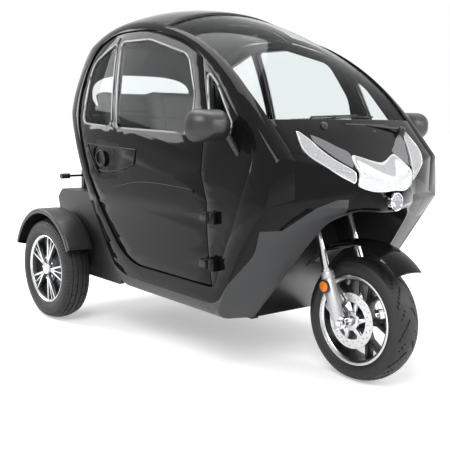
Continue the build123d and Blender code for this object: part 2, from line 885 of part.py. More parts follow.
rail_y = 230.0
rail_width = 36.0
rail_height = 34.0
rail_front = rear_axle_x + 1190.0
rail_rear = rear_axle_x + 430.0
rail_climb = 140.0
rail_top = sill_height - seat_gap
tail_rail_x = rear_axle_x - 150.0
tail_rail_z = rear_tyre_radius + axle_tube_radius + seat_gap + rail_height
with BuildPart() as frame:
    for side in (-1, 1):
        with BuildSketch(Plane.XZ.offset(-side * rail_y)):
            with BuildLine():
                Polyline(
                    (rail_front, rail_top),
                    (rail_rear, rail_top),
                    (rail_rear - rail_climb, tail_rail_z),
                    (tail_rail_x, tail_rail_z),
                    (tail_rail_x, tail_rail_z - rail_height),
                    (rail_rear - rail_climb - rail_height / 2, tail_rail_z - rail_height),
                    (rail_rear - rail_height / 2, rail_top - rail_height),
                    (rail_front, rail_top - rail_height),
                    close=True,
                )
            make_face()
        extrude(amount=rail_width / 2, both=True)
    for x, z in (
        (rail_front - rail_width, rail_top - rail_height / 2),
        ((rail_front + rail_rear) / 2, rail_top - rail_height / 2),
        (rail_rear, rail_top - rail_height / 2),
        (tail_rail_x + rail_width, tail_rail_z - rail_height / 2),
    ):
        with Locations((x, 0, z)):
            Box(rail_width, 2 * rail_y, rail_height)
keep(frame.part, "chassis_frame")

# Tail box over the rear axle
box_half_width = 420.0
box_foot_share = (tail_rail_z + seat_gap - sill_height) / body_rise
box_shares = [
    (-0.060, box_foot_share, 0.05),
    (-0.086, 0.200, 0.05),
    (-0.074, 0.245, 0.02),
    (-0.085, 0.280, 0.04),
    (-0.058, 0.318, 0.08),
    (0.200, 0.318, 0.02),
    (0.200, box_foot_share, 0.02),
]
box_skirt_shares = [
    (0.000, box_foot_share, 0.03),
    (0.030, 0.160, 0.03),
    (0.300, 0.160, 0.03),
    (0.300, 0.000, 0.03),
    (0.055, 0.000, 0.05),
]
box_wall = 20.0
lid_rear = rear_axle_x - 62.0
lid_front = rear_axle_x + 160.0
lid_half_width = 300.0
lid_rise = 6.0
with BuildPart() as box:
    extrude(side_face(box_shares), amount=box_half_width, both=True)
    for side in (-1, 1):
        extrude(
            side_face(box_skirt_shares).moved(Location((0, side * box_half_width, 0))),
            amount=box_wall,
            dir=(0, -side, 0),
        )
    with Locations(((lid_rear + lid_front) / 2, 0, up(box_shares[4][1]))):
        Box(
            lid_front - lid_rear,
            2 * lid_half_width,
            lid_rise,
            align=(Align.CENTER, Align.CENTER, Align.MIN),
        )
keep(box.part - rear_wall_envelope(-seat_gap), "tail_box")

# Rear fenders
guard_thickness = 5.0
guard_outer = 585.0
guard_inner = box_half_width + seat_gap
guard_flange = 24.0
guard_inner_drop = 110.0
guard_corner = 70.0
with BuildPart() as guard:
    with BuildSketch(Plane.YZ.offset(rear_axle_x)):
        with BuildLine():
            outline = FilletPolyline(
                (-guard_outer, rear_tyre_radius + guard_radius - guard_flange),
                (-guard_outer, rear_tyre_radius + guard_radius),
                (-guard_inner, rear_tyre_radius + guard_radius),
                (-guard_inner, rear_tyre_radius + guard_radius - guard_inner_drop),
                radius=(guard_thickness * 2, guard_corner),
            )
            offset(outline, amount=guard_thickness, side=Side.RIGHT)
        make_face()
    revolve(axis=Axis(rear_centre, (0, -1, 0)), revolution_arc=guard_sweep)
guard_form = guard.part.rotate(Axis(rear_centre, (0, 1, 0)), 90.0 - guard_start)
keep_pair(guard_form, "rear_fender")

# Seats, battery block and dashboard
seat_x = rear_axle_x + 600.0
seat_width = 400.0
seat_depth = 380.0
cushion_height = 100.0
cushion_bottom = 560.0
back_thickness = 90.0
back_height = 520.0
back_lean = 14.0
cushion_round = 30.0
floor_top = sill_height + shell_thickness + seat_gap
battery_x = rear_axle_x + 675.0
battery_length = 290.0
battery_width = 360.0
with BuildPart() as battery:
    with Locations((battery_x, 0, floor_top)):
        Box(
            battery_length,
            battery_width,
            cushion_bottom - seat_gap - floor_top,
            align=(Align.CENTER, Align.CENTER, Align.MIN),
        )
keep(battery.part, "battery_block")


def seat(x, bottom, width, depth, tall):
    """Cushion and leaning backrest of one seat."""
    with BuildPart() as piece:
        with Locations((x, 0, bottom + cushion_height / 2)):
            Box(depth, width, cushion_height)
        with BuildSketch(
            Plane(
                origin=(x - depth / 2, 0, bottom + cushion_height / 2),
                x_dir=(math.cos(math.radians(back_lean)), 0, math.sin(math.radians(back_lean))),
                z_dir=(-math.sin(math.radians(back_lean)), 0, math.cos(math.radians(back_lean))),
            )
        ):
            with Locations((back_thickness / 2, 0)):
                RectangleRounded(back_thickness, width, cushion_round)
        extrude(amount=tall)
    return piece.part


keep(seat(seat_x, cushion_bottom, seat_width, seat_depth, back_height), "driver_seat")


# Mirrors on stalks from the quarter panels
mirror_x = rear_axle_x + 1325.0
mirror_y = 578.0
mirror_z = 985.0
mirror_width = 190.0
mirror_height = 118.0
mirror_depth = 78.0
mirror_round_share = 0.42
stalk_radius = 11.0
stalk_foot = Vector(rear_axle_x + 1351.0, -465.0, 872.0)
# Place along X in depths, size of the section in widths and heights
mirror_section_shares = [(1.0, 0.3, 0.34), (0.72, 0.74, 0.78), (0.3, 0.96, 0.98), (0.0, 1.0, 1.0)]
with BuildPart() as mirror_head:
    for x, wide, high in mirror_section_shares:
        with BuildSketch(Plane.YZ.offset(mirror_x - mirror_depth / 2 + x * mirror_depth)):
            with Locations((-mirror_y, mirror_z)):
                RectangleRounded(
                    wide * mirror_width, high * mirror_height, high * mirror_height * mirror_round_share
                )
    loft()
stalk = round_bar(stalk_foot, Vector(mirror_x, -mirror_y + mirror_width / 4, mirror_z), stalk_radius)
keep_pair(mirror_head.part + stalk - door_seat_form, "mirror")


# Indicators on posts behind the cabin, and the tail lamps
post_x = rear_axle_x - 20.0
post_y = 330.0
post_width = 24.0
post_top = 728.0
indicator_height = 700.0
arm_thickness = 10.0
indicator_reach = 110.0
indicator_radius = 13.0
indicator_length = 46.0
deck_z = up(box_shares[4][1]) + seat_gap
with BuildPart() as indicator:
    with Locations((post_x, -post_y, deck_z)):
        Box(
            post_width,
            post_width,
            post_top - deck_z,
            align=(Align.CENTER, Align.CENTER, Align.MIN),
        )
    with Locations((post_x, -post_y, indicator_height)):
        Box(
            arm_thickness,
            indicator_reach,
            arm_thickness,
            align=(Align.CENTER, Align.MAX, Align.CENTER),
        )
    with Locations(Location((post_x, -post_y - indicator_reach, indicator_height), (90, 0, 0))):
        Cylinder(indicator_radius, indicator_length)
keep_pair(indicator.part, "rear_indicator")

tail_lamp_radius = 44.0
tail_lamp_depth = 16.0
tail_lamp_y = 300.0
tail_lamp_z = 500.0
tail_face_x = along(box_shares[1][0])
with BuildPart() as tail_lamps:
    for side in (-1, 1):
        with Locations(Location((tail_face_x, side * tail_lamp_y, tail_lamp_z), (0, -90, 0))):
            Cylinder(
                tail_lamp_radius, tail_lamp_depth, align=(Align.CENTER, Align.CENTER, Align.MIN)
            )
keep(tail_lamps.part - box.part, "tail_lamps")


# Rear seat on its ledge, and the dashboard
rear_seat_x = rear_axle_x + 235.0
rear_seat_bottom = 690.0
rear_seat_width = 640.0
rear_seat_depth = 220.0
rear_seat_height = 380.0
rear_seat = seat(rear_seat_x, rear_seat_bottom, rear_seat_width, rear_seat_depth, rear_seat_height)
keep(rear_seat & rear_wall_envelope(shell_thickness + seat_gap), "rear_seat")

dash_wall = 10.0
dash_half_width = 405.0
dash_points = [(1392.0, 948.0), (1228.0, 862.0), (1258.0, 640.0), (1300.0, 560.0)]
dash_radius = 40.0
with BuildPart() as dash:
    with BuildSketch(Plane.XZ):
        with BuildLine():
            line = FilletPolyline(
                *[(rear_axle_x + x, z) for x, z in dash_points], radius=dash_radius
            )
            offset(line, amount=dash_wall, side=Side.LEFT)
        make_face()
    extrude(amount=dash_half_width, both=True)
    add(head_bore.part, mode=Mode.SUBTRACT)
keep(dash.part - well_form(-seat_gap), "dashboard")
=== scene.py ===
"""Looks of an enclosed three-wheeled microcar, laid out as an add-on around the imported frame."""

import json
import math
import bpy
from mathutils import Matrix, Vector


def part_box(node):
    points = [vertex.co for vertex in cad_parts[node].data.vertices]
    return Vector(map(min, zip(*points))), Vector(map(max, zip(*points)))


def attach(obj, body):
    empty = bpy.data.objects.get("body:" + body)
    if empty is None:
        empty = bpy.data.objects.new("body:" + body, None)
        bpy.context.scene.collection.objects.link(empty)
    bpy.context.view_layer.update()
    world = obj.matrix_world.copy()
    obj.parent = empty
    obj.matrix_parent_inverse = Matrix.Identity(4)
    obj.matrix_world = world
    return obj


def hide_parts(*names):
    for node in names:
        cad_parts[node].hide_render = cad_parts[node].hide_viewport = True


bl_info = {
    "name": "Enclosed three-wheeled microcar",
    "version": (1, 0, 0),
    "blender": (4, 5, 0),
    "location": "3D View > Sidebar > Microcar",
    "description": "Dresses the frame of a small three-wheeled cabin vehicle",
    "category": "Object",
}

import bpy
from mathutils import Matrix, Vector

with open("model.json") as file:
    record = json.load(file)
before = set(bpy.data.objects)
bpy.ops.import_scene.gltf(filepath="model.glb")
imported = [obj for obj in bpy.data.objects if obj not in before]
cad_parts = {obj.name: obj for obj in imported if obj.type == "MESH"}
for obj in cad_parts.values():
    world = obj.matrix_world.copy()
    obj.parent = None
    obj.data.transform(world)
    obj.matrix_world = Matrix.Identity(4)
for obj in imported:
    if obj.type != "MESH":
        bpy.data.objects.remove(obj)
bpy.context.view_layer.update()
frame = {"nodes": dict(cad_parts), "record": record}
REAR_X = sum(corner.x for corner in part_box("rear_tyre_right")) / 2
FRONT_X = sum(corner.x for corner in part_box("front_tyre")) / 2
FRONT_RADIUS = 0.243
REAR_RADIUS = 0.247
REAR_WHEEL_Y = 0.507
AXLE_BORE = 0.0125
ON_AXIS = 0.0002
EDGE_ANGLE = 32.0
CLOTH_FRAMES = 14
CHANNEL_DEPTH = 0.0045
CHANNEL_WIDTH = 0.0055
RAKE = math.radians(22.0)
FORK_UP = Vector((-math.sin(RAKE), 0, math.cos(RAKE)))
FORK_AHEAD = Vector((math.cos(RAKE), 0, math.sin(RAKE)))
FORK_LEG_Y = 0.102
FORK_OFFSET = 0.064
LEG_AHEAD = 0.04
LEG_FOOT_RISE = 0.0259
LEG_FOOT = Vector((FRONT_X - FORK_OFFSET / math.cos(RAKE), 0, FRONT_RADIUS))
LEG_FOOT += FORK_AHEAD * LEG_AHEAD
BODY_OF = {
    node: body
    for body, nodes in frame["record"]["behaviour"]["bodies"].items() for node in nodes
}


# Finishes
def fill(node, **sockets):
    """Sets a node's inputs by their names, with _ for a space."""
    for socket, value in sockets.items():
        node.inputs[socket.replace("_", " ")].default_value = value
    return node


def new_node(tree, kind, **sockets):
    """Shader node with its inputs set."""
    return fill(tree.nodes.new("ShaderNode" + kind), **sockets)


def new_finish(name, colour, roughness, spread=0.15, scale=60.0, relief=0.0,
               relief_scale=900.0, **sockets):
    """Procedural finish: one noise drifts colour and roughness, a finer one gives the relief."""
    made = bpy.data.materials.new(name)
    made.use_nodes = True
    tree = made.node_tree
    links = tree.links
    shader = fill(tree.nodes["Principled BSDF"], **sockets)
    place = new_node(tree, "TexCoord")
    drift = new_node(tree, "TexNoise", Scale=scale, Detail=4.0)
    links.new(place.outputs["Object"], drift.inputs["Vector"])
    tint = new_node(tree, "Mix")
    tint.data_type = "RGBA"
    # Sockets 6 and 7 are the mix node's two colours, and output 2 is the mixed one
    tint.inputs[6].default_value = [c * (1 - spread) for c in colour] + [1.0]
    tint.inputs[7].default_value = [min(1.0, c * (1 + spread)) for c in colour] + [1.0]
    links.new(drift.outputs["Fac"], tint.inputs[0])
    links.new(tint.outputs[2], shader.inputs["Base Color"])
    rough = new_node(tree, "MapRange", To_Min=roughness * (1 - spread),
                     To_Max=min(1.0, roughness * (1 + spread)))
    links.new(drift.outputs["Fac"], rough.inputs["Value"])
    links.new(rough.outputs["Result"], shader.inputs["Roughness"])
    if relief:
        grain = new_node(tree, "TexNoise", Scale=relief_scale, Detail=3.0)
        links.new(place.outputs["Object"], grain.inputs["Vector"])
        bump = new_node(tree, "Bump", Strength=1.0, Distance=relief)
        links.new(grain.outputs["Fac"], bump.inputs["Height"])
        links.new(bump.outputs["Normal"], shader.inputs["Normal"])
    return made


def finish(name):
    """A finish by its name, made when it is first asked for."""
    made = bpy.data.materials.get(name)
    if made:
        return made
    colour, roughness, details = FINISHES[name]
    if isinstance(colour, str):
        colour = getattr(bpy.context.scene.microcar_colours, colour)
    return new_finish(name, colour, roughness, **details)


# Colour (its own, or one set in the panel), roughness and details of each finish
FINISHES = {
    "body_paint": ("paint", 0.06, dict(spread=0.2, scale=6.0, relief=0.00002,
        relief_scale=500.0, Specular_IOR_Level=0.3, IOR=1.3)),
    "skirt_plastic": ("skirt", 0.42, dict(scale=30.0, relief=0.00008, relief_scale=1400.0)),
    "box_plastic": ((0.011, 0.011, 0.012), 0.42, dict(scale=25.0, relief=0.0001,
        relief_scale=1200.0)),
    "guard_plastic": ((0.017, 0.017, 0.018), 0.38, dict(scale=25.0, relief=0.00008,
        relief_scale=1200.0)),
    "well_plastic": ((0.01, 0.01, 0.011), 0.3, dict(scale=20.0, relief=0.00006,
        relief_scale=1000.0)),
    "dash_plastic": ((0.012, 0.012, 0.013), 0.5, dict(scale=40.0, relief=0.0001,
        relief_scale=800.0)),
    "cast_black": ((0.008, 0.008, 0.008), 0.4, dict(spread=0.25, scale=80.0, relief=0.00006,
        relief_scale=700.0)),
    "clear_pane": ((0.9, 0.93, 0.93), 0.01, dict(spread=0.02, scale=4.0,
        Transmission_Weight=1.0, IOR=1.08, Specular_IOR_Level=0.5)),
    "lamp_lens": ((0.96, 0.97, 0.98), 0.03, dict(spread=0.02, scale=90.0, relief=0.0003,
        relief_scale=160.0, Transmission_Weight=1.0, IOR=1.25)),
    "tread_rubber": ((0.009, 0.009, 0.0095), 0.58, dict(spread=0.3, scale=45.0, relief=0.00012,
        relief_scale=500.0)),
    "bright_alloy": ((0.62, 0.63, 0.65), 0.24, dict(Metallic=1.0, spread=0.1, scale=70.0,
        relief=0.00002, relief_scale=1500.0)),
    "cast_silver": ((0.52, 0.52, 0.53), 0.4, dict(spread=0.1, relief=0.00005,
        relief_scale=700.0, Metallic=0.7)),
    "ground_steel": ((0.6, 0.6, 0.61), 0.28, dict(Metallic=1.0, spread=0.12, scale=120.0,
        relief=0.00003)),
    "polished_steel": ((0.78, 0.78, 0.8), 0.07, dict(Metallic=1.0, spread=0.06)),
    "seat_leather": ("leather", 0.45, dict(spread=0.2, scale=30.0, relief=0.0004,
        relief_scale=380.0)),
    "lamp_mirror": ((0.42, 0.43, 0.44), 0.18, dict(spread=0.75, scale=230.0, relief=0.0006,
        relief_scale=210.0, Metallic=0.55)),
    "lamp_bowl": ((0.66, 0.67, 0.69), 0.16, dict(spread=0.16, scale=70.0, relief=0.0004,
        relief_scale=60.0, Metallic=0.35)),
    "rim_white": ((0.72, 0.73, 0.74), 0.14, dict(spread=0.04, scale=40.0, Metallic=0.6)),
    # Lighter grey for the sheets beside the lamps: a painted reflection on the black nose
    "grey_gloss": ((0.115, 0.115, 0.12), 0.12, dict(spread=0.08, scale=20.0)),
    "trim_grey": ("trim", 0.35, dict(spread=0.12, scale=50.0, relief=0.00003)),
    "amber_lens": ((0.75, 0.2, 0.01), 0.12, dict(spread=0.1, scale=50.0, relief=0.0003,
        relief_scale=260.0)),
    "mirror_glass": ((0.85, 0.86, 0.87), 0.02, dict(Metallic=1.0, spread=0.02, scale=5.0)),
    "red_lens": ((0.45, 0.01, 0.01), 0.12, dict(spread=0.1, scale=50.0, relief=0.0003,
        relief_scale=250.0, Transmission_Weight=0.3)),
}


# Finish of the carried-over nodes by the start of their names; the others have the body's paint
CAD_FINISHES = {
    start: name
    for name, starts in {
        "clear_pane": ("door_window", "quarter_window", "rear_window", "windscreen"),
        "lamp_lens": ("headlamp", "fog_lamp", "running_lamp"),
        "red_lens": ("tail_lamps",),
        "skirt_plastic": ("floor_tub", "rear_panel"),
        "box_plastic": ("tail_box",),
        "guard_plastic": ("rear_fender",),
        "well_plastic": ("leg_shield",),
        "dash_plastic": ("dashboard", "mirror", "rear_indicator", "battery_block"),
        "tread_rubber": ("front_tyre", "rear_tyre"),
        "bright_alloy": ("front_rim", "rear_rim", "brake_caliper"),
        "ground_steel": ("brake_disc",),
        "polished_steel": ("fork_legs",),
        "cast_black": ("door_hinges", "handlebar", "chassis_frame", "rear_axle",
                       "steering_head"),
        "seat_leather": ("driver_seat", "rear_seat"),
    }.items() for start in starts
}


class MICROCAR_OT_frame_finishes(bpy.types.Operator):
    """Gives every carried-over node its finish"""

    bl_idname = "microcar.frame_finishes"
    bl_label = "Frame finishes"

    def execute(self, context):
        for name, node in frame["nodes"].items():
            keys = [key for key in CAD_FINISHES if name.startswith(key)]
            node.data.materials.clear()
            node.data.materials.append(finish(CAD_FINISHES[keys[0]] if keys else "body_paint"))
        return {"FINISHED"}


class MICROCAR_OT_stage(bpy.types.Operator):
    """Floor, lamps, world and the camera"""

    bl_idname = "microcar.stage"
    bl_label = "Stage"

    def execute(self, context):
        scene = context.scene
        scene.view_settings.view_transform = "Standard"
        eye = Vector((3.6414 + REAR_X, -2.4159, 1.0487))
        ahead = Vector((-0.7645, 0.6291, -0.1407)).normalized()
        right = ahead.cross(Vector((0, 0, 1))).normalized()
        above = right.cross(ahead)
        roll = math.radians(1.101)
        right, above = (
            right * math.cos(roll) + above * math.sin(roll),
            above * math.cos(roll) - right * math.sin(roll),
        )
        lens = bpy.data.cameras.new("view_camera")
        lens.lens = 65.676
        lens.sensor_width = 36.0
        camera = bpy.data.objects.new("view_camera", lens)
        scene.collection.objects.link(camera)
        turn = Matrix((right, above, -ahead)).transposed().to_4x4()
        camera.matrix_world = Matrix.Translation(eye) @ turn
        scene.camera = camera

        bpy.ops.object.select_all(action="DESELECT")
        bpy.ops.mesh.primitive_plane_add(size=60.0, location=(0, 0, 0))
        floor = context.object
        floor.name = "studio_floor"
        floor.data.materials.append(floor_finish())

        for name, place, size, power, aim in (
            ("key_lamp", (2.6, -3.6, 4.2), 2.8, 230.0, (0, 0, 0.6)),
            ("fill_lamp", (4.0, 2.8, 2.4), 2.4, 110.0, (0.2, 0, 0.6)),
            ("top_lamp", (-0.6, 0.3, 4.6), 3.4, 160.0, (0, 0, 0.5)),
            ("rear_lamp", (-4.0, -2.6, 2.6), 2.2, 110.0, (-0.4, 0, 0.6)),
        ):
            light = bpy.data.lights.new(name, "AREA")
            light.size = size
            light.energy = power
            lamp = bpy.data.objects.new(name, light)
            scene.collection.objects.link(lamp)
            turn = (Vector(place) - Vector(aim)).to_track_quat("Z", "Y").to_matrix().to_4x4()
            lamp.matrix_world = Matrix.Translation(place) @ turn
        studio_world(scene)
        return {"FINISHED"}


def seen_rays(tree):
    """One where the view, a pane or a reflection sees it, and zero where it only gives light."""
    path = new_node(tree, "LightPath")
    level = path.outputs["Is Camera Ray"]
    for ray in ("Is Transmission Ray", "Is Glossy Ray"):
        either = new_node(tree, "Math")
        either.operation = "MAXIMUM"
        tree.links.new(level, either.inputs[0])
        tree.links.new(path.outputs[ray], either.inputs[1])
        level = either.outputs[0]
    return level


def floor_finish():
    """White floor that keeps the shadow: matt, with a glow that only the view sees."""
    made = bpy.data.materials.new("floor_white")
    made.use_nodes = True
    tree = made.node_tree
    links = tree.links
    tree.nodes.clear()
    out = new_node(tree, "OutputMaterial")
    matt = new_node(tree, "BsdfDiffuse", Color=(0.8, 0.8, 0.8, 1))
    glow = new_node(tree, "Emission")
    level = new_node(tree, "Math")
    level.operation = "MULTIPLY"
    away = new_node(tree, "VectorMath")
    away.operation = "LENGTH"
    links.new(new_node(tree, "TexCoord").outputs["Object"], away.inputs[0])
    fade = new_node(tree, "MapRange", From_Min=1.5, From_Max=5.0, To_Min=0.4, To_Max=1.0)
    links.new(away.outputs["Value"], fade.inputs["Value"])
    links.new(seen_rays(tree), level.inputs[0])
    links.new(fade.outputs["Result"], level.inputs[1])
    links.new(level.outputs[0], glow.inputs["Strength"])
    both = new_node(tree, "AddShader")
    links.new(matt.outputs[0], both.inputs[0])
    links.new(glow.outputs[0], both.inputs[1])
    links.new(both.outputs[0], out.inputs["Surface"])
    return made


def studio_world(scene):
    """White where the view, a reflection or a pane sees it, and an even light for the rest."""
    world = bpy.data.worlds.new("studio_world")
    world.use_nodes = True
    scene.world = world
    tree = world.node_tree
    tree.nodes.clear()
    out = new_node(tree, "OutputWorld")
    pick = new_node(tree, "MixShader")
    tree.links.new(seen_rays(tree), pick.inputs[0])
    for socket, strength in ((1, 0.45), (2, 1.0)):
        white = new_node(tree, "Background", Color=(1, 1, 1, 1), Strength=strength)
        tree.links.new(white.outputs[0], pick.inputs[socket])
    tree.links.new(pick.outputs[0], out.inputs["Surface"])


# Modelling
def add(kind, name, **sizes):
    """A primitive with nothing else selected."""
    bpy.ops.object.select_all(action="DESELECT")
    getattr(bpy.ops.mesh, f"primitive_{kind}_add")(**sizes)
    piece = bpy.context.object
    piece.name = name
    return piece


def own_copy(piece, name):
    """Unparented copy of a piece, with a mesh of its own."""
    copy = piece.copy()
    copy.data = piece.data.copy()
    copy.name = name
    copy.parent = None
    bpy.context.scene.collection.objects.link(copy)
    return copy


def only(*pieces):
    """Selects just these pieces, the first one active."""
    bpy.ops.object.select_all(action="DESELECT")
    for piece in pieces:
        piece.select_set(True)
    bpy.context.view_layer.objects.active = pieces[0]


def edit(piece, test=None):
    """Opens a piece for editing with all of it selected, or just the faces that pass the test."""
    only(piece)
    mesh = piece.data
    for part in (mesh.vertices, mesh.edges, mesh.polygons):
        part.foreach_set("select", [test is None] * len(part))
    if test:
        for face in mesh.polygons:
            face.select = bool(test(face.center, face.normal))
    bpy.context.tool_settings.mesh_select_mode = (False, False, True)
    bpy.ops.object.mode_set(mode="EDIT")


def close_edit():
    """Goes back from editing to the whole pieces."""
    bpy.ops.object.mode_set(mode="OBJECT")


def bake(piece):
    """Puts a piece's place, turn and size into its mesh."""
    only(piece)
    bpy.ops.object.transform_apply(location=True, rotation=True, scale=True)
    return piece


def apply(piece, kind, **settings):
    """Adds a modifier and applies it."""
    only(piece)
    made = piece.modifiers.new(kind.lower(), kind)
    for key, value in settings.items():
        setattr(made, key, value)
    bpy.ops.object.modifier_apply(modifier=made.name)
    return piece


def tidy(piece):
    """Merges doubles and turns every face outwards."""
    edit(piece)
    bpy.ops.mesh.remove_doubles(threshold=0.00004)
    bpy.ops.mesh.normals_make_consistent(inside=False)
    close_edit()
    return piece


def join(name, pieces):
    """Makes one piece of several, under a name."""
    only(*pieces)
    if len(pieces) > 1:
        bpy.ops.object.join()
    pieces[0].name = name
    return pieces[0]


def settle(piece, look, body, smooth=35.0, stands_for=()):
    """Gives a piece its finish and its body."""
    bake(piece)
    piece.data.materials.clear()
    piece.data.materials.append(finish(look))
    only(piece)
    bpy.ops.object.shade_smooth_by_angle(angle=math.radians(smooth))
    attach(piece, body)
    if stands_for:
        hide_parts(*stands_for)
    return piece


def spun(name, profile, centre, steps):
    """Closed profile of (radius, across) turned about the axle."""
    piece = add("circle", name, vertices=len(profile), radius=1.0)
    for corner, (radius, across) in zip(piece.data.vertices, profile):
        corner.co = (centre[0], centre[1] + across, centre[2] + radius)
    edit(piece)
    bpy.ops.mesh.spin(steps=steps, angle=math.tau, center=centre, axis=(0, 1, 0))
    close_edit()
    return tidy(piece)


def bar(name, start, stop, widths, depth, centre, bevel):
    """Tapered bar in a wheel's plane, from start to stop as (radius, turn in degrees)."""
    piece = add("cube", name, size=1.0)
    low, high = depth
    ends = [
        Vector((radius * math.cos(math.radians(turn)), 0, radius * math.sin(math.radians(turn))))
        for radius, turn in (start, stop)
    ]
    along = (ends[1] - ends[0]).normalized()
    side = Vector((-along.z, 0, along.x))
    for corner in piece.data.vertices:
        end = 1 if corner.co.x > 0 else 0
        reach = side * (widths[end] / 2 * (1 if corner.co.z > 0 else -1))
        spot = ends[end] + reach + Vector(centre)
        spot.y = centre[1] + (high if corner.co.y > 0 else low)
        corner.co = spot
    tidy(piece)
    return apply(piece, "BEVEL", width=bevel, segments=2, limit_method="ANGLE")


def turned_copies(name, piece, count, centre):
    """Copies of a piece all round the axle, joined to it."""
    pieces = [piece]
    for index in range(1, count):
        copy = own_copy(piece, name)
        turn = Matrix.Rotation(math.tau * index / count, 4, "Y")
        spot = Matrix.Translation(centre)
        copy.data.transform(spot @ turn @ spot.inverted())
        pieces.append(copy)
    return join(name, pieces)


def mirrored(name, piece):
    """The same piece on the left-hand side."""
    copy = own_copy(piece, name)
    copy.data.transform(Matrix.Scale(-1, 4, (0, 1, 0)))
    edit(copy)
    bpy.ops.mesh.flip_normals()
    close_edit()
    return copy


def rod(name, start, end, radius, sides=20, bevel=0.0):
    """Round rod between two points."""
    start, end = Vector(start), Vector(end)
    piece = add("cylinder", name, vertices=sides, radius=radius, depth=(end - start).length)
    turn = (end - start).to_track_quat("Z", "Y").to_matrix().to_4x4()
    piece.data.transform(Matrix.Translation((start + end) / 2) @ turn)
    if bevel:
        apply(piece, "BEVEL", width=bevel, segments=3, limit_method="ANGLE")
    return piece


def duplicate(node, name):
    """Copy of a carried-over node with its doubles merged and its flat faces joined."""
    copy = own_copy(frame["nodes"][node], name)
    copy.hide_render = False
    copy.hide_viewport = False
    copy.hide_set(False)
    edit(copy)
    bpy.ops.mesh.remove_doubles(threshold=0.00003)
    bpy.ops.mesh.dissolve_limited(angle_limit=math.radians(0.5))
    close_edit()
    return copy


def softened(node, look, width=0.0, smooth=EDGE_ANGLE):
    """Stands for a node with its sharp edges rounded, so that they catch the light."""
    copy = duplicate(node, f"{node}_soft")
    width = width or bpy.context.scene.microcar_sizes.panel_edge
    apply(copy, "BEVEL", width=width, segments=2, limit_method="ANGLE",
          angle_limit=math.radians(EDGE_ANGLE))
    return settle(copy, look, BODY_OF[node], smooth, stands_for=(node,))


def cut(piece, tool):
    """Takes a tool's form out of a piece, and removes the tool."""
    apply(piece, "BOOLEAN", operation="DIFFERENCE", object=tool, solver="EXACT")
    bpy.data.objects.remove(tool)


def faces_only(piece, keep):
    """Deletes the faces that the test doesn't keep."""
    edit(piece, lambda spot, normal: not keep(spot, normal))
    bpy.ops.mesh.delete(type="FACE")
    close_edit()
    return piece


def moved(x, y, z):
    """A point given from the rear axle, in the frame's own place."""
    return Vector((x + REAR_X, y, z))


def leg_point(rise, y, ahead=0.0):
    """A point on the fork leg's line, so far up from the axle."""
    spot = LEG_FOOT + FORK_UP * (rise - LEG_FOOT_RISE) + FORK_AHEAD * ahead
    spot.y = y
    return spot


def disc(name, centre, axis, profile, steps):
    """Profile of (radius, along) turned about any axis."""
    piece = spun(name, profile, (0, 0, 0), steps)
    turn = Vector(axis).to_track_quat("Y", "Z").to_matrix().to_4x4()
    piece.data.transform(Matrix.Translation(centre) @ turn)
    return piece


def squared(along, power):
    """Moves a place on a circle towards the corners of its square."""
    return math.copysign(abs(along) ** power, along)


def rail(points, share):
    """Place on a smooth line through the points, share of the way along it."""
    spot = share * (len(points) - 1)
    index = min(int(spot), len(points) - 2)
    part = spot - index
    a, b, c, d = (
        Vector(points[min(max(index + step, 0), len(points) - 1)]) for step in (-1, 0, 1, 2)
    )
    return 0.5 * (2 * b + (c - a) * part + (2 * a - 5 * b + 4 * c - d) * part ** 2
                  + (3 * b - a - 3 * c + d) * part ** 3)


def skin(nodes):
    """Joined copy of several nodes, for other pieces to lie on."""
    return join("skin", [duplicate(node, "skin_part") for node in nodes])


def patch(name, lower, upper, target, lift, size=(32, 8), way=(1, 0, 0)):
    """Sheet between two lines given from the rear axle, laid on the target from one side."""
    sheet = add("grid", name, x_subdivisions=size[0], y_subdivisions=size[1], size=2.0)
    for corner in sheet.data.vertices:
        share, rise = (corner.co.x + 1) / 2, (corner.co.y + 1) / 2
        spot = rail(lower, share).lerp(rail(upper, share), rise)
        corner.co = moved(*spot) + Vector(way) * 0.1
    back = way[0] > 0 or way[1] > 0
    apply(sheet, "SHRINKWRAP", target=target, wrap_method="PROJECT",
          use_project_x=bool(way[0]), use_project_y=bool(way[1]),
          use_negative_direction=back, use_positive_direction=not back)
    apply(sheet, "SMOOTH", factor=0.5, iterations=3)
    sheet.data.transform(Matrix.Translation(Vector(way) * lift))
    return sheet


def rimmed(sheet, width):
    """Parts a sheet into its middle and a rim of the given width."""
    rim = own_copy(sheet, f"{sheet.name}_rim")
    for piece, drop_middle in ((sheet, False), (rim, True)):
        edit(piece)
        bpy.ops.mesh.inset(thickness=width, use_boundary=True)
        if not drop_middle:
            bpy.ops.mesh.select_all(action="INVERT")
        bpy.ops.mesh.delete(type="FACE")
        close_edit()
    return sheet, rim


def plated(sheet, thickness, bevel=0.0):
    """Gives a sheet its thickness, inwards from its outer face."""
    edit(sheet)
    bpy.ops.mesh.normals_make_consistent(inside=False)
    close_edit()
    apply(sheet, "SOLIDIFY", thickness=thickness, offset=0.0)
    tidy(sheet)
    if bevel:
        apply(sheet, "BEVEL", width=bevel, segments=2, limit_method="ANGLE",
              angle_limit=math.radians(50.0))
    return sheet


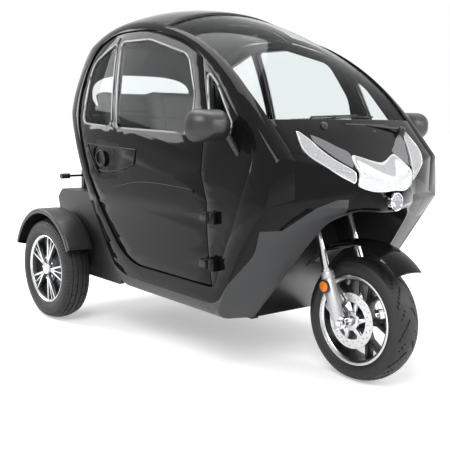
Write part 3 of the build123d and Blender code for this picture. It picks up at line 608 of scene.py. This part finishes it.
# Wheels
def tyre_profile(radius, width, rim, grooves, deep):
    """Cross-section of a tyre with grooves round its tread."""
    tread, bead = width * 0.42, width * 0.4
    seat = rim + 0.0003
    shoulder = radius - width * 0.1
    points = []
    marks = sorted([-tread + tread * i / 7 for i in range(15)]
                   + [g + d for g in grooves for d in (-0.0026, -0.0018, 0.0018, 0.0026)])
    for across in marks:
        if any(0.0019 < abs(across - g) < 0.0025 for g in grooves):
            continue
        sunk = any(abs(across - g) < 0.0019 for g in grooves)
        crown = radius - width * 0.1 * (across / tread) ** 2
        points.append((crown - (deep if sunk else 0), across))
    wall = []
    for i in range(1, 12):
        share = i / 12
        across = tread + (bead - tread) * share
        bulge = math.sin(math.pi * share) * (width / 2 - across)
        wall.append((shoulder + (seat - shoulder) * share, across + bulge * 0.96))
    points += wall + [(seat, bead), (seat, -bead)] + [(r, -a) for r, a in reversed(wall)]
    return points


class MICROCAR_OT_front_wheel(bpy.types.Operator):
    """Front tyre with its cut grooves, black spoked wheel with a machined lip"""

    bl_idname = "microcar.front_wheel"
    bl_label = "Front wheel"

    def execute(self, context):
        centre = Vector((FRONT_X, 0, FRONT_RADIUS))
        steps = 252
        pitch = 21
        profile = tyre_profile(FRONT_RADIUS, 0.13, 0.177, (), 0.0)
        tyre = spun("front_tread", profile, centre, steps)

        def groove(spot, normal):
            away = spot - centre
            across = abs(away.y)
            if math.hypot(away.x, away.z) < 0.2285 or across < 0.004:
                return False
            turn = math.atan2(away.z, away.x) / math.tau * steps
            side = 1 if away.y > 0 else -1
            lean = turn + side * 7.0 + 1100.0 * across ** 1.5
            long_cut = across < 0.054 and lean % pitch < 2.7
            short_cut = 0.02 < across < 0.046 and (lean + pitch / 2) % pitch < 1.7
            return long_cut or short_cut

        edit(tyre, groove)
        bpy.ops.mesh.inset(thickness=0.0006, depth=-0.0035)
        close_edit()
        settle(tyre, "tread_rubber", "front_wheel", stands_for=("front_tyre",))

        barrel = spun("front_barrel", [
            (0.1768, -0.0546), (0.1768, 0.0546), (0.168, 0.0546), (0.158, 0.046),
            (0.154, 0.02), (0.154, -0.02), (0.158, -0.046), (0.166, -0.051),
        ], centre, 96)
        arm = [
            bar("front_arm", start, stop, widths, (-0.019, 0.019), centre, 0.003)
            for start, stop, widths in (
                ((0.03, 0), (0.104, 0), (0.034, 0.022)),
                ((0.092, 2), (0.158, 13), (0.017, 0.013)),
                ((0.092, -2), (0.158, -13), (0.017, 0.013)),
            )
        ]
        arms = turned_copies("front_arms", join("front_arm", arm), 6, centre)
        hub = spun("front_hub", [
            (AXLE_BORE, -0.054), (AXLE_BORE, 0.054), (0.026, 0.054), (0.031, 0.046),
            (0.036, 0.022), (0.042, 0.016), (0.042, -0.016), (0.036, -0.022), (0.031, -0.046),
            (0.026, -0.054),
        ], centre, 64)
        wheel = join("front_wheel_black", [barrel, arms, hub])
        settle(wheel, "cast_black", "front_wheel", stands_for=("front_rim",))
        ring = [
            (0.177, 0.05), (0.177, 0.0548), (0.1745, 0.0556), (0.1728, 0.0552),
            (0.1722, 0.054), (0.17, 0.054), (0.169, 0.0546), (0.1672, 0.0538),
            (0.1668, 0.0524), (0.164, 0.0506), (0.1612, 0.0484), (0.159, 0.0462),
            (0.163, 0.044),
        ]
        lips = [spun("lip", [(r, a * side) for r, a in ring], centre, 128) for side in (-1, 1)]
        settle(join("front_lip", lips), "bright_alloy", "front_wheel")
        return {"FINISHED"}


class MICROCAR_OT_front_brake(bpy.types.Operator):
    """Drilled disc on its carrier"""

    bl_idname = "microcar.front_brake"
    bl_label = "Front brake"

    def execute(self, context):
        low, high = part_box("brake_disc")
        centre = Vector((FRONT_X, (low.y + high.y) / 2, FRONT_RADIUS))
        rotor = spun("front_disc", [
            (0.074, -0.002), (0.0735, 0), (0.074, 0.002), (0.1093, 0.002), (0.1099, 0.0012),
            (0.1099, -0.0012), (0.1093, -0.002),
        ], centre, 120)
        drills = []
        through = Vector((0, 0.01, 0))
        holes = 36
        for index in range(holes):
            turn = math.tau * index / holes
            radius = 0.0985 if index % 2 else 0.0865
            spot = centre + Vector((radius * math.cos(turn), 0, radius * math.sin(turn)))
            drills.append(rod("drill", spot - through, spot + through, 0.0028, 10))
        cut(rotor, join("drills", drills))
        settle(rotor, "ground_steel", "front_wheel", stands_for=("brake_disc",))
        arm = bar("carrier_arm", (0.03, 0), (0.077, 14), (0.02, 0.014), (-0.0035, 0.0035),
                  centre, 0.0015)
        arms = turned_copies("carrier_arms", arm, 6, centre)
        hub = spun("carrier_hub", [
            (AXLE_BORE, -0.008), (AXLE_BORE, 0.008), (0.036, 0.008), (0.038, 0.004),
            (0.038, -0.004), (0.03, -0.006), (0.022, -0.008),
        ], centre, 64)
        settle(join("disc_carrier", [arms, hub]), "bright_alloy", "front_wheel")
        return {"FINISHED"}


class MICROCAR_OT_rear_wheels(bpy.types.Operator):
    """Rear tyres with ribbed treads, and the wheels with their groups of machined bars"""

    bl_idname = "microcar.rear_wheels"
    bl_label = "Rear wheels"

    def execute(self, context):
        centre = Vector((REAR_X, -REAR_WHEEL_Y, REAR_RADIUS))
        steps = 240
        profile = tyre_profile(REAR_RADIUS, 0.135, 0.166, (-0.036, -0.013, 0.013, 0.036), 0.005)
        tyre = spun("rear_tread_right", profile, centre, steps)

        def sipe(spot, normal):
            away = spot - centre
            across, radius = abs(away.y), math.hypot(away.x, away.z)
            turn = math.floor(math.atan2(away.z, away.x) / math.tau * steps)
            edge = 0.046 < across < 0.062 and radius > 0.222 and turn % 3 == 0
            block = 0.018 < across < 0.031 and radius > 0.24 and turn % 8 == 0
            return edge or block

        edit(tyre, sipe)
        bpy.ops.mesh.inset(thickness=0.0004, depth=-0.0022)
        close_edit()
        settle(tyre, "tread_rubber", "rear_wheel_right",
               stands_for=("rear_tyre_right",))
        settle(mirrored("rear_tread_left", tyre), "tread_rubber", "rear_wheel_left",
               stands_for=("rear_tyre_left",))

        barrel = spun("rear_barrel", [
            (0.1658, -0.0562), (0.1658, 0.0562), (0.16, 0.0562), (0.148, 0.046),
            (0.146, 0.000), (0.147, -0.036), (0.155, -0.05),
        ], centre, 96)
        dish = spun("rear_dish", [
            (AXLE_BORE, -0.03), (AXLE_BORE, -0.018), (0.07, -0.014), (0.11, -0.01),
            (0.148, -0.014), (0.148, -0.024), (0.11, -0.02), (0.074, -0.026), (0.07, -0.036),
            (0.05, -0.038), (0.03, -0.038),
        ], centre, 96)
        web = bar("rear_web", (0.045, 0), (0.152, 0), (0.026, 0.066), (-0.04, -0.022),
                  centre, 0.003)
        webs = turned_copies("rear_webs", web, 5, centre)
        hub = spun("rear_hub", [
            (AXLE_BORE, 0.03), (0.034, 0.056), (0.034, 0.03), (0.034, -0.02),
            (AXLE_BORE, -0.02),
        ], centre, 48)
        black = join("rear_wheel_black_right", [barrel, dish, webs, hub])
        settle(black, "cast_black", "rear_wheel_right", stands_for=("rear_rim_right",))
        bars = [
            bar("rib", (0.034, 0), (0.156, turn), widths, (front, -0.036), centre, bevel)
            for turn, widths, front, bevel in (
                (13, (0.012, 0.0085), -0.052, 0.0015),
                (-13, (0.012, 0.0085), -0.052, 0.0015),
                (0, (0.007, 0.006), -0.049, 0.0012),
            )
        ]
        ribs = turned_copies("rear_ribs", join("rib", bars), 5, centre)
        lip = spun("rear_lip", [
            (0.166, -0.0562), (0.1645, -0.0572), (0.1618, -0.0566), (0.16, -0.0548),
            (0.156, -0.052), (0.1545, -0.049), (0.156, -0.046), (0.166, -0.046),
        ], centre, 128)
        cap = spun("rear_cap", [
            (ON_AXIS, -0.056), (0.014, -0.0555), (0.0225, -0.0535), (0.0235, -0.056),
            (0.0265, -0.0565), (0.0285, -0.054), (0.03, -0.04), (ON_AXIS, -0.04),
        ], centre, 64)
        nut = spun("wheel_nut", [
            (ON_AXIS, -0.0455), (0.0045, -0.045), (0.0065, -0.043), (0.0072, -0.034),
            (ON_AXIS, -0.034),
        ], centre, 6)
        turn = math.radians(36)
        nut.data.transform(Matrix.Translation((0.052 * math.cos(turn), 0, 0.052 * math.sin(turn))))
        nuts = turned_copies("wheel_nuts", nut, 5, centre)
        bright = join("rear_wheel_bright_right", [ribs, lip, cap, nuts])
        settle(bright, "bright_alloy", "rear_wheel_right")
        black = mirrored("rear_wheel_black_left", black)
        bright = mirrored("rear_wheel_bright_left", bright)
        settle(black, "cast_black", "rear_wheel_left", stands_for=("rear_rim_left",))
        settle(bright, "bright_alloy", "rear_wheel_left")
        return {"FINISHED"}


class MICROCAR_OT_body_panels(bpy.types.Operator):
    """Body panels, rings and plastics with their edges rounded"""

    bl_idname = "microcar.body_panels"
    bl_label = "Body panels"

    def execute(self, context):
        gloss = ["cowl_panel", "nose_fairing", "roof_panel", "front_fender"]
        gloss += [f"{part}_{side}" for part in ("body_ring", "door", "quarter_panel", "door_handle")
                  for side in ("right", "left")]
        for node in gloss:
            softened(node, "body_paint")
        for node in ("nose_skirt_right", "nose_skirt_left", "floor_tub", "rear_panel"):
            softened(node, "skirt_plastic")
        softened("tail_box", "box_plastic", 0.004)
        for node in ("rear_fender_right", "rear_fender_left"):
            softened(node, "guard_plastic")
        softened("leg_shield", "well_plastic")
        for node in ("door_hinges_right", "door_hinges_left"):
            softened(node, "body_paint", 0.006, 50.0)
        softened("dashboard", "dash_plastic", 0.004)
        softened("brake_caliper", "cast_silver", 0.003)
        return {"FINISHED"}


class MICROCAR_OT_window_trims(bpy.types.Operator):
    """Rubber edgings round the side windows"""

    bl_idname = "microcar.window_trims"
    bl_label = "Window trims"

    def execute(self, context):
        for side, sign in (("right", -1), ("left", 1)):
            door = skin((f"door_{side}",))
            for index, (lower, upper) in enumerate((
                ([(0.4, 0.655), (0.56, 0.688), (0.72, 0.718), (0.9, 0.725), (1.12, 0.72)],
                 [(0.4, 0.667), (0.56, 0.702), (0.72, 0.733), (0.9, 0.74), (1.12, 0.734)]),
                ([(0.372, 0.752), (0.47, 0.75), (0.6, 0.772), (0.69, 0.8)],
                 [(0.25, 0.884), (0.42, 0.88), (0.58, 0.876), (0.7, 0.872)]),
            )):
                rails = [[(x, sign * 0.49, z) for x, z in line] for line in (lower, upper)]
                plate = patch("door_plate", *rails, door, 0.0012, (40, 6), (0, sign, 0))
                if index:
                    middle, plate = rimmed(plate, 0.006)
                    bpy.data.objects.remove(middle)
                plate = plated(plate, 0.0045, 0.0015)
                plate.name = f"door_crease_{side}_{index}"
                settle(plate, "body_paint", f"door_{side}", 40.0)
            bpy.data.objects.remove(door)
        for node in ("door_window_right", "door_window_left", "quarter_window_right",
                     "quarter_window_left"):
            trim = duplicate(node, f"{node}_trim")
            faces_only(trim, lambda spot, normal: abs(normal.y) < 0.55)
            apply(trim, "SOLIDIFY", thickness=0.007, offset=0.6, use_even_offset=True)
            side = -1 if node.endswith("right") else 1
            for corner in trim.data.vertices:
                corner.co.y += side * 0.0035
            tidy(trim)
            settle(trim, "trim_grey", BODY_OF[node], 40.0)
        return {"FINISHED"}


class MICROCAR_OT_rear_surround(bpy.types.Operator):
    """Black band printed round the edge of the rear window, with an oval left clear"""

    bl_idname = "microcar.rear_surround"
    bl_label = "Rear window surround"

    def execute(self, context):
        band = faces_only(duplicate("rear_window", "rear_window_band"),
                          lambda spot, normal: normal.x > 0.3)
        apply(band, "SOLIDIFY", thickness=0.0015, offset=1.0)
        tidy(band)
        hole = add("cylinder", "oval", vertices=64, radius=1.0, depth=0.6)
        for corner in hole.data.vertices:
            across, rise, deep = corner.co
            corner.co = (REAR_X + 0.05 + deep, squared(across, 0.7) * 0.3,
                         1.108 + squared(rise, 0.7) * 0.098)
        tidy(hole)
        cut(band, hole)
        band.data.transform(Matrix.Translation((0.0025, 0, 0)))
        settle(tidy(band), "dash_plastic", "root", 40.0)
        return {"FINISHED"}


class MICROCAR_OT_front_lamps(bpy.types.Operator):
    """Lenses, bright bowls and rims of the lamps in the nose"""

    bl_idname = "microcar.front_lamps"
    bl_label = "Front lamps"

    def execute(self, context):
        target = skin(("nose_fairing", "cowl_panel", "body_ring_right", "body_ring_left",
                       "headlamp", "running_lamp_right", "running_lamp_left"))
        strip = (
            [(1.475, -0.309, 0.971), (1.509, -0.325, 0.932), (1.538, -0.329, 0.902),
             (1.574, -0.307, 0.869), (1.617, -0.235, 0.82), (1.643, -0.166, 0.785)],
            [(1.477, -0.3, 0.97), (1.512, -0.267, 0.939), (1.542, -0.249, 0.909),
             (1.586, -0.214, 0.87), (1.617, -0.166, 0.833), (1.643, -0.16, 0.797)],
        )
        # Outline of the lighter grey sheets beside the lamps: a painted reflection laid on the nose
        panel = (
            [(1.495, -0.256, 0.957), (1.516, -0.258, 0.934), (1.542, -0.241, 0.912),
             (1.584, -0.206, 0.874), (1.62, -0.162, 0.842)],
            [(1.499, -0.245, 0.955), (1.517, -0.206, 0.94), (1.544, -0.163, 0.916),
             (1.572, -0.121, 0.892), (1.616, -0.146, 0.852)],
        )
        lift, thick = 0.0022, 0.003
        bright, rims, reflection_sheets = [], [], []
        for sign in (1, -1):
            for lines, store in ((strip, bright), (panel, reflection_sheets)):
                lower, upper = ([(x, y * sign, z) for x, y, z in line] for line in lines)
                sheet = patch("lamp_sheet", lower, upper, target, lift)
                if store is bright:
                    sheet, rim = rimmed(sheet, context.scene.microcar_sizes.lamp_rim)
                    rims.append(plated(rim, 0.005, 0.0008))
                store.append(plated(sheet, thick))
        span = [-0.152, -0.142, -0.122, -0.09, -0.045, 0.0, 0.045, 0.09, 0.122, 0.142, 0.152]
        tops = [0.8, 0.852, 0.884, 0.88, 0.866, 0.857, 0.866, 0.88, 0.884, 0.852, 0.8]
        feet = [0.776, 0.77, 0.762, 0.754, 0.753, 0.757, 0.753, 0.754, 0.762, 0.77, 0.776]
        lower = [(1.668 - 0.1 * abs(y), y, z) for y, z in zip(span, feet)]
        upper = [(1.61 - 0.2 * abs(y), y, z) for y, z in zip(span, tops)]
        sheet, rim = rimmed(patch("headlamp_bowl", lower, upper, target, lift, (60, 16)), 0.005)
        rims.append(plated(rim, 0.0055, 0.0008))
        settle(plated(sheet, thick), "lamp_bowl", "root", 40.0,
               stands_for=("headlamp",))
        lower_cells, upper_cells = [], []
        for x, y, z in upper[1:-1]:
            lower_cells.append((x, y * 0.93, z - 0.03 - 0.018 * math.cos(y * 20)))
            upper_cells.append((x, y * 0.93, z - 0.006))
        cells = patch("headlamp_cells", lower_cells, upper_cells, target, 0.0042, (60, 6))
        settle(plated(cells, 0.002), "lamp_mirror", "root", 40.0)
        settle(join("running_lamp_bowls", bright), "lamp_mirror", "root", 40.0,
               stands_for=("running_lamp_right", "running_lamp_left"))
        settle(join("lamp_rims", rims), "rim_white", "root", 40.0)
        # The lighter grey gloss sheets beside the lamps are a painted reflection
        settle(join("lamp_panels", reflection_sheets), "grey_gloss", "root", 40.0)
        bpy.data.objects.remove(target)
        low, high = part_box("fog_lamp")
        centre, axis = (high.x, 0, (low.z + high.z) / 2), (1, 0, 0)
        bezel = disc("round_lamp_bezel", centre, axis, [
            (0.0345, -0.02), (0.0345, 0.001), (0.0325, 0.0035), (0.03, 0.003), (0.029, 0.0005),
            (0.029, -0.02),
        ], 64)
        settle(bezel, "polished_steel", "root")
        bowl = disc("round_lamp_bowl", centre, axis, [
            (0.0292, -0.0015), (0.023, -0.008), (0.014, -0.015), (ON_AXIS, -0.018),
            (ON_AXIS, -0.02), (0.0292, -0.02),
        ], 48)
        settle(bowl, "lamp_mirror", "root")
        lens = disc("round_lamp_lens", centre, axis, [
            (0.029, 0.0000), (0.02, 0.003), (0.01, 0.0042), (ON_AXIS, 0.0046),
            (ON_AXIS, 0.0026), (0.01, 0.0022), (0.02, 0.001), (0.029, -0.0012),
        ], 48)
        settle(lens, "lamp_lens", "root", stands_for=("fog_lamp",))
        return {"FINISHED"}


class MICROCAR_OT_wipers(bpy.types.Operator):
    """Two wipers and the washer nozzle in front of the windscreen"""

    bl_idname = "microcar.wipers"
    bl_label = "Wipers"

    def execute(self, context):
        parts = []
        for pivot, tips in (
            ((1.466, -0.157, 0.979), ((1.421, -0.287, 1.007), (1.398, 0.198, 1.021))),
            ((1.491, 0.273, 0.963), ((1.455, -0.135, 0.986), (1.467, 0.309, 0.978))),
        ):
            pivot = moved(*pivot)
            first, last = (moved(*tip) for tip in tips)
            lift = Vector((0.01, 0, 0.012))
            low = lift * 0.3
            claws = [first.lerp(last, share) for share in (0.22, 0.5, 0.78)]
            parts += [
                disc("wiper_pivot", pivot, (0.35, 0, 1), [
                    (ON_AXIS, 0.026), (0.012, 0.024), (0.016, 0.016), (0.017, -0.02),
                    (ON_AXIS, -0.02)], 32),
                rod("wiper_arm", pivot + Vector((0, 0, 0.014)), claws[1] + lift, 0.0055, 12, 0.001),
                rod("wiper_bridge", claws[0] + lift, claws[2] + lift, 0.004, 10, 0.001),
                *(rod("wiper_claw", spot + lift, spot + low, 0.0035, 10) for spot in claws),
                rod("wiper_blade", first + low, last + low, 0.0036, 10, 0.0008),
            ]
        nozzle = moved(1.49, 0.107, 0.963)
        parts.append(disc("washer_nozzle", nozzle, (0.3, 0, 1), [
            (ON_AXIS, 0.012), (0.006, 0.01), (0.009, 0.004), (0.01, -0.01),
            (ON_AXIS, -0.01)], 24))
        settle(join("wipers", parts), "cast_black", "root")
        return {"FINISHED"}


class MICROCAR_OT_mirrors(bpy.types.Operator):
    """Mirror shells with their glasses"""

    bl_idname = "microcar.mirrors"
    bl_label = "Mirrors"

    def execute(self, context):
        for side, sign in (("right", -1), ("left", 1)):
            node = f"mirror_{side}"
            softened(node, "guard_plastic", 0.004, 50.0)
            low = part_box(node)[0]
            glass = add("circle", f"mirror_glass_{side}", vertices=48, radius=1.0, fill_type="NGON")
            for corner in glass.data.vertices:
                across, rise = corner.co.x, corner.co.y
                corner.co = (low.x - 0.0008, sign * 0.578 + squared(across, 0.62) * 0.08,
                             0.985 + squared(rise, 0.62) * 0.046)
            tidy(glass)
            apply(glass, "SOLIDIFY", thickness=0.002, offset=1.0)
            settle(glass, "mirror_glass", "root")
        return {"FINISHED"}


class MICROCAR_OT_fork_dress(bpy.types.Operator):
    """Cast lower legs, seals, brackets and round reflectors on the fork"""

    bl_idname = "microcar.fork_dress"
    bl_label = "Fork dress"

    def execute(self, context):
        cast, dark, amber, chrome = [], [], [], []
        for sign in (-1, 1):
            y = sign * FORK_LEG_Y
            for store, name, foot, top, ahead, radius, sides, bevel in (
                (cast, "lower_leg", -0.018, 0.19, 0.0, 0.0236, 40, 0.002),
                (cast, "leg_web", 0.02, 0.15, -0.012, 0.0205, 28, 0.003),
                (cast, "leg_collar", 0.176, 0.206, 0.0, 0.0262, 40, 0.003),
                (dark, "leg_seal", 0.204, 0.216, 0.0, 0.0215, 32, 0.002),
            ):
                store.append(rod(name, leg_point(foot, y, ahead), leg_point(top, y, ahead),
                                 radius, sides, bevel))
            chrome.append(rod("axle_nut", Vector((FRONT_X, sign * 0.124, FRONT_RADIUS)),
                              Vector((FRONT_X, sign * 0.14, FRONT_RADIUS)), 0.013, 6, 0.0015))
            dark.append(rod("reflector_bracket", leg_point(0.15, y),
                            leg_point(0.15, sign * 0.138), 0.012, 16, 0.002))
            hold = leg_point(0.15, sign * 0.134)
            dark.append(disc("reflector_cup", hold, (0, sign, 0), [
                (ON_AXIS, -0.004), (0.022, -0.004), (0.026, 0.000), (0.026, 0.006),
                (0.0235, 0.0075), (ON_AXIS, 0.0045)], 40))
            amber.append(disc("reflector", hold, (0, sign, 0), [
                (ON_AXIS, 0.0088), (0.015, 0.0082), (0.023, 0.0066), (0.023, 0.004),
                (ON_AXIS, 0.004)], 40))
        for rise in (0.424, 0.462):
            for sign in (-1, 1):
                dark.append(rod("yoke_bolt", leg_point(rise, sign * 0.085, 0.02),
                                leg_point(rise, sign * 0.085, 0.036), 0.006, 6, 0.001))
        settle(join("fork_castings", cast), "cast_silver", "fork")
        settle(join("fork_seals", dark), "cast_black", "fork")
        settle(join("fork_reflectors", amber), "amber_lens", "fork")
        settle(join("axle_nuts", chrome), "polished_steel", "fork")
        return {"FINISHED"}


def stuffed(node, name, swell, channels):
    """Padded seat: the node's form a little smaller, filled out as cloth, then sewn across."""
    pad = duplicate(node, name)
    apply(pad, "REMESH", mode="VOXEL", voxel_size=0.01)
    apply(pad, "DISPLACE", strength=-0.5 * swell, mid_level=0.0)
    apply(pad, "SMOOTH", factor=0.5, iterations=6)
    start = [corner.co.copy() for corner in pad.data.vertices]
    only(pad)
    cloth = pad.modifiers.new("cloth", "CLOTH")
    cloth.settings.use_pressure = True
    cloth.settings.uniform_pressure_force = 4.0
    cloth.settings.effector_weights.gravity = 0.0
    for number in range(1, CLOTH_FRAMES + 1):
        bpy.context.scene.frame_set(number)
    bpy.ops.object.modifier_apply(modifier="cloth")
    bpy.context.scene.frame_set(1)
    for corner, origin in zip(pad.data.vertices, start):
        shift = corner.co - origin
        corner.co = origin + shift * min(1.0, swell / max(shift.length, 1e-9))
    apply(pad, "SMOOTH", factor=0.5, iterations=3)
    apply(pad, "SUBSURF", levels=1, render_levels=1)
    moves = []
    for corner in pad.data.vertices:
        deep = max(math.exp(-(((corner.co - Vector(spot)).dot(Vector(way))) / CHANNEL_WIDTH) ** 2)
                   for spot, way in channels)
        moves.append(corner.normal * (-CHANNEL_DEPTH * deep))
    for corner, move in zip(pad.data.vertices, moves):
        corner.co += move
    settle(pad, "seat_leather", "root", 60.0, stands_for=(node,))
    return pad


class MICROCAR_OT_seats(bpy.types.Operator):
    """Padded driver's seat and rear bench with sewn channels"""

    bl_idname = "microcar.seats"
    bl_label = "Seats"

    def execute(self, context):
        swell = context.scene.microcar_sizes.seat_swell
        for node in ("driver_seat", "rear_seat"):
            low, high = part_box(node)
            middle = (low + high) / 2
            long, wide, tall = high.x - low.x, high.y - low.y, high.z - low.z
            lines = [((0, middle.y + side * 0.36 * wide, 0), (0, 1, 0)) for side in (-1, 1)]
            lines += [((0, 0, low.z + share * tall), (0, 0, 1)) for share in (0.55, 0.75)]
            lines += [((low.x + share * long, 0, 0), (1, 0, 0)) for share in (0.5, 0.75)]
            stuffed(node, f"{node}_padded", swell, lines)
        return {"FINISHED"}


class MICROCAR_PG_sizes(bpy.types.PropertyGroup):
    """Sizes of the added detail"""

    panel_edge: bpy.props.FloatProperty(
        name="Panel edge", description="Rounding along the edges of the body panels",
        default=0.0025, min=0.0005, max=0.006, subtype="DISTANCE", unit="LENGTH")
    lamp_rim: bpy.props.FloatProperty(
        name="Lamp rim", description="Width of the bright rims round the lamps",
        default=0.0045, min=0.001, max=0.01, subtype="DISTANCE", unit="LENGTH")
    seat_swell: bpy.props.FloatProperty(
        name="Seat swell", description="How far the padding of the seats may swell",
        default=0.01, min=0.0, max=0.03, subtype="DISTANCE", unit="LENGTH")


class MICROCAR_PG_colours(bpy.types.PropertyGroup):
    """Colours of the finishes"""

    paint: bpy.props.FloatVectorProperty(
        name="Paint", description="Gloss paint of the body panels",
        default=(0.0045, 0.0045, 0.005), min=0.0, max=1.0, subtype="COLOR")
    skirt: bpy.props.FloatVectorProperty(
        name="Skirt", description="Satin plastic of the lower body",
        default=(0.026, 0.027, 0.029), min=0.0, max=1.0, subtype="COLOR")
    trim: bpy.props.FloatVectorProperty(
        name="Trim", description="Edgings round the side windows",
        default=(0.3, 0.3, 0.31), min=0.0, max=1.0, subtype="COLOR")
    leather: bpy.props.FloatVectorProperty(
        name="Leather", description="Covers of the seats",
        default=(0.012, 0.012, 0.012), min=0.0, max=1.0, subtype="COLOR")


class MICROCAR_PT_panel(bpy.types.Panel):
    """Lists the sizes, the colours and the steps"""

    bl_idname = "MICROCAR_PT_panel"
    bl_label = "Microcar"
    bl_space_type = "VIEW_3D"
    bl_region_type = "UI"
    bl_category = "Microcar"

    def draw(self, context):
        for group in (context.scene.microcar_sizes, context.scene.microcar_colours):
            box = self.layout.box()
            for name in group.bl_rna.properties.keys():
                if name not in ("rna_type", "name"):
                    box.prop(group, name)
        for step in STEPS:
            self.layout.operator(step.bl_idname)


STEPS = (
    MICROCAR_OT_stage,
    MICROCAR_OT_frame_finishes,
    MICROCAR_OT_front_wheel,
    MICROCAR_OT_front_brake,
    MICROCAR_OT_rear_wheels,
    MICROCAR_OT_body_panels,
    MICROCAR_OT_window_trims,
    MICROCAR_OT_rear_surround,
    MICROCAR_OT_front_lamps,
    MICROCAR_OT_wipers,
    MICROCAR_OT_mirrors,
    MICROCAR_OT_fork_dress,
    MICROCAR_OT_seats,
)
CLASSES = (MICROCAR_PG_sizes, MICROCAR_PG_colours, *STEPS, MICROCAR_PT_panel)


def register():
    for cls in CLASSES:
        bpy.utils.register_class(cls)
    bpy.types.Scene.microcar_sizes = bpy.props.PointerProperty(type=MICROCAR_PG_sizes)
    bpy.types.Scene.microcar_colours = bpy.props.PointerProperty(type=MICROCAR_PG_colours)


def unregister():
    del bpy.types.Scene.microcar_colours
    del bpy.types.Scene.microcar_sizes
    for cls in reversed(CLASSES):
        bpy.utils.unregister_class(cls)


def main():
    register()
    for step in STEPS:
        getattr(bpy.ops.microcar, step.bl_idname.split(".")[1])()


if __name__ == "__main__":
    main()
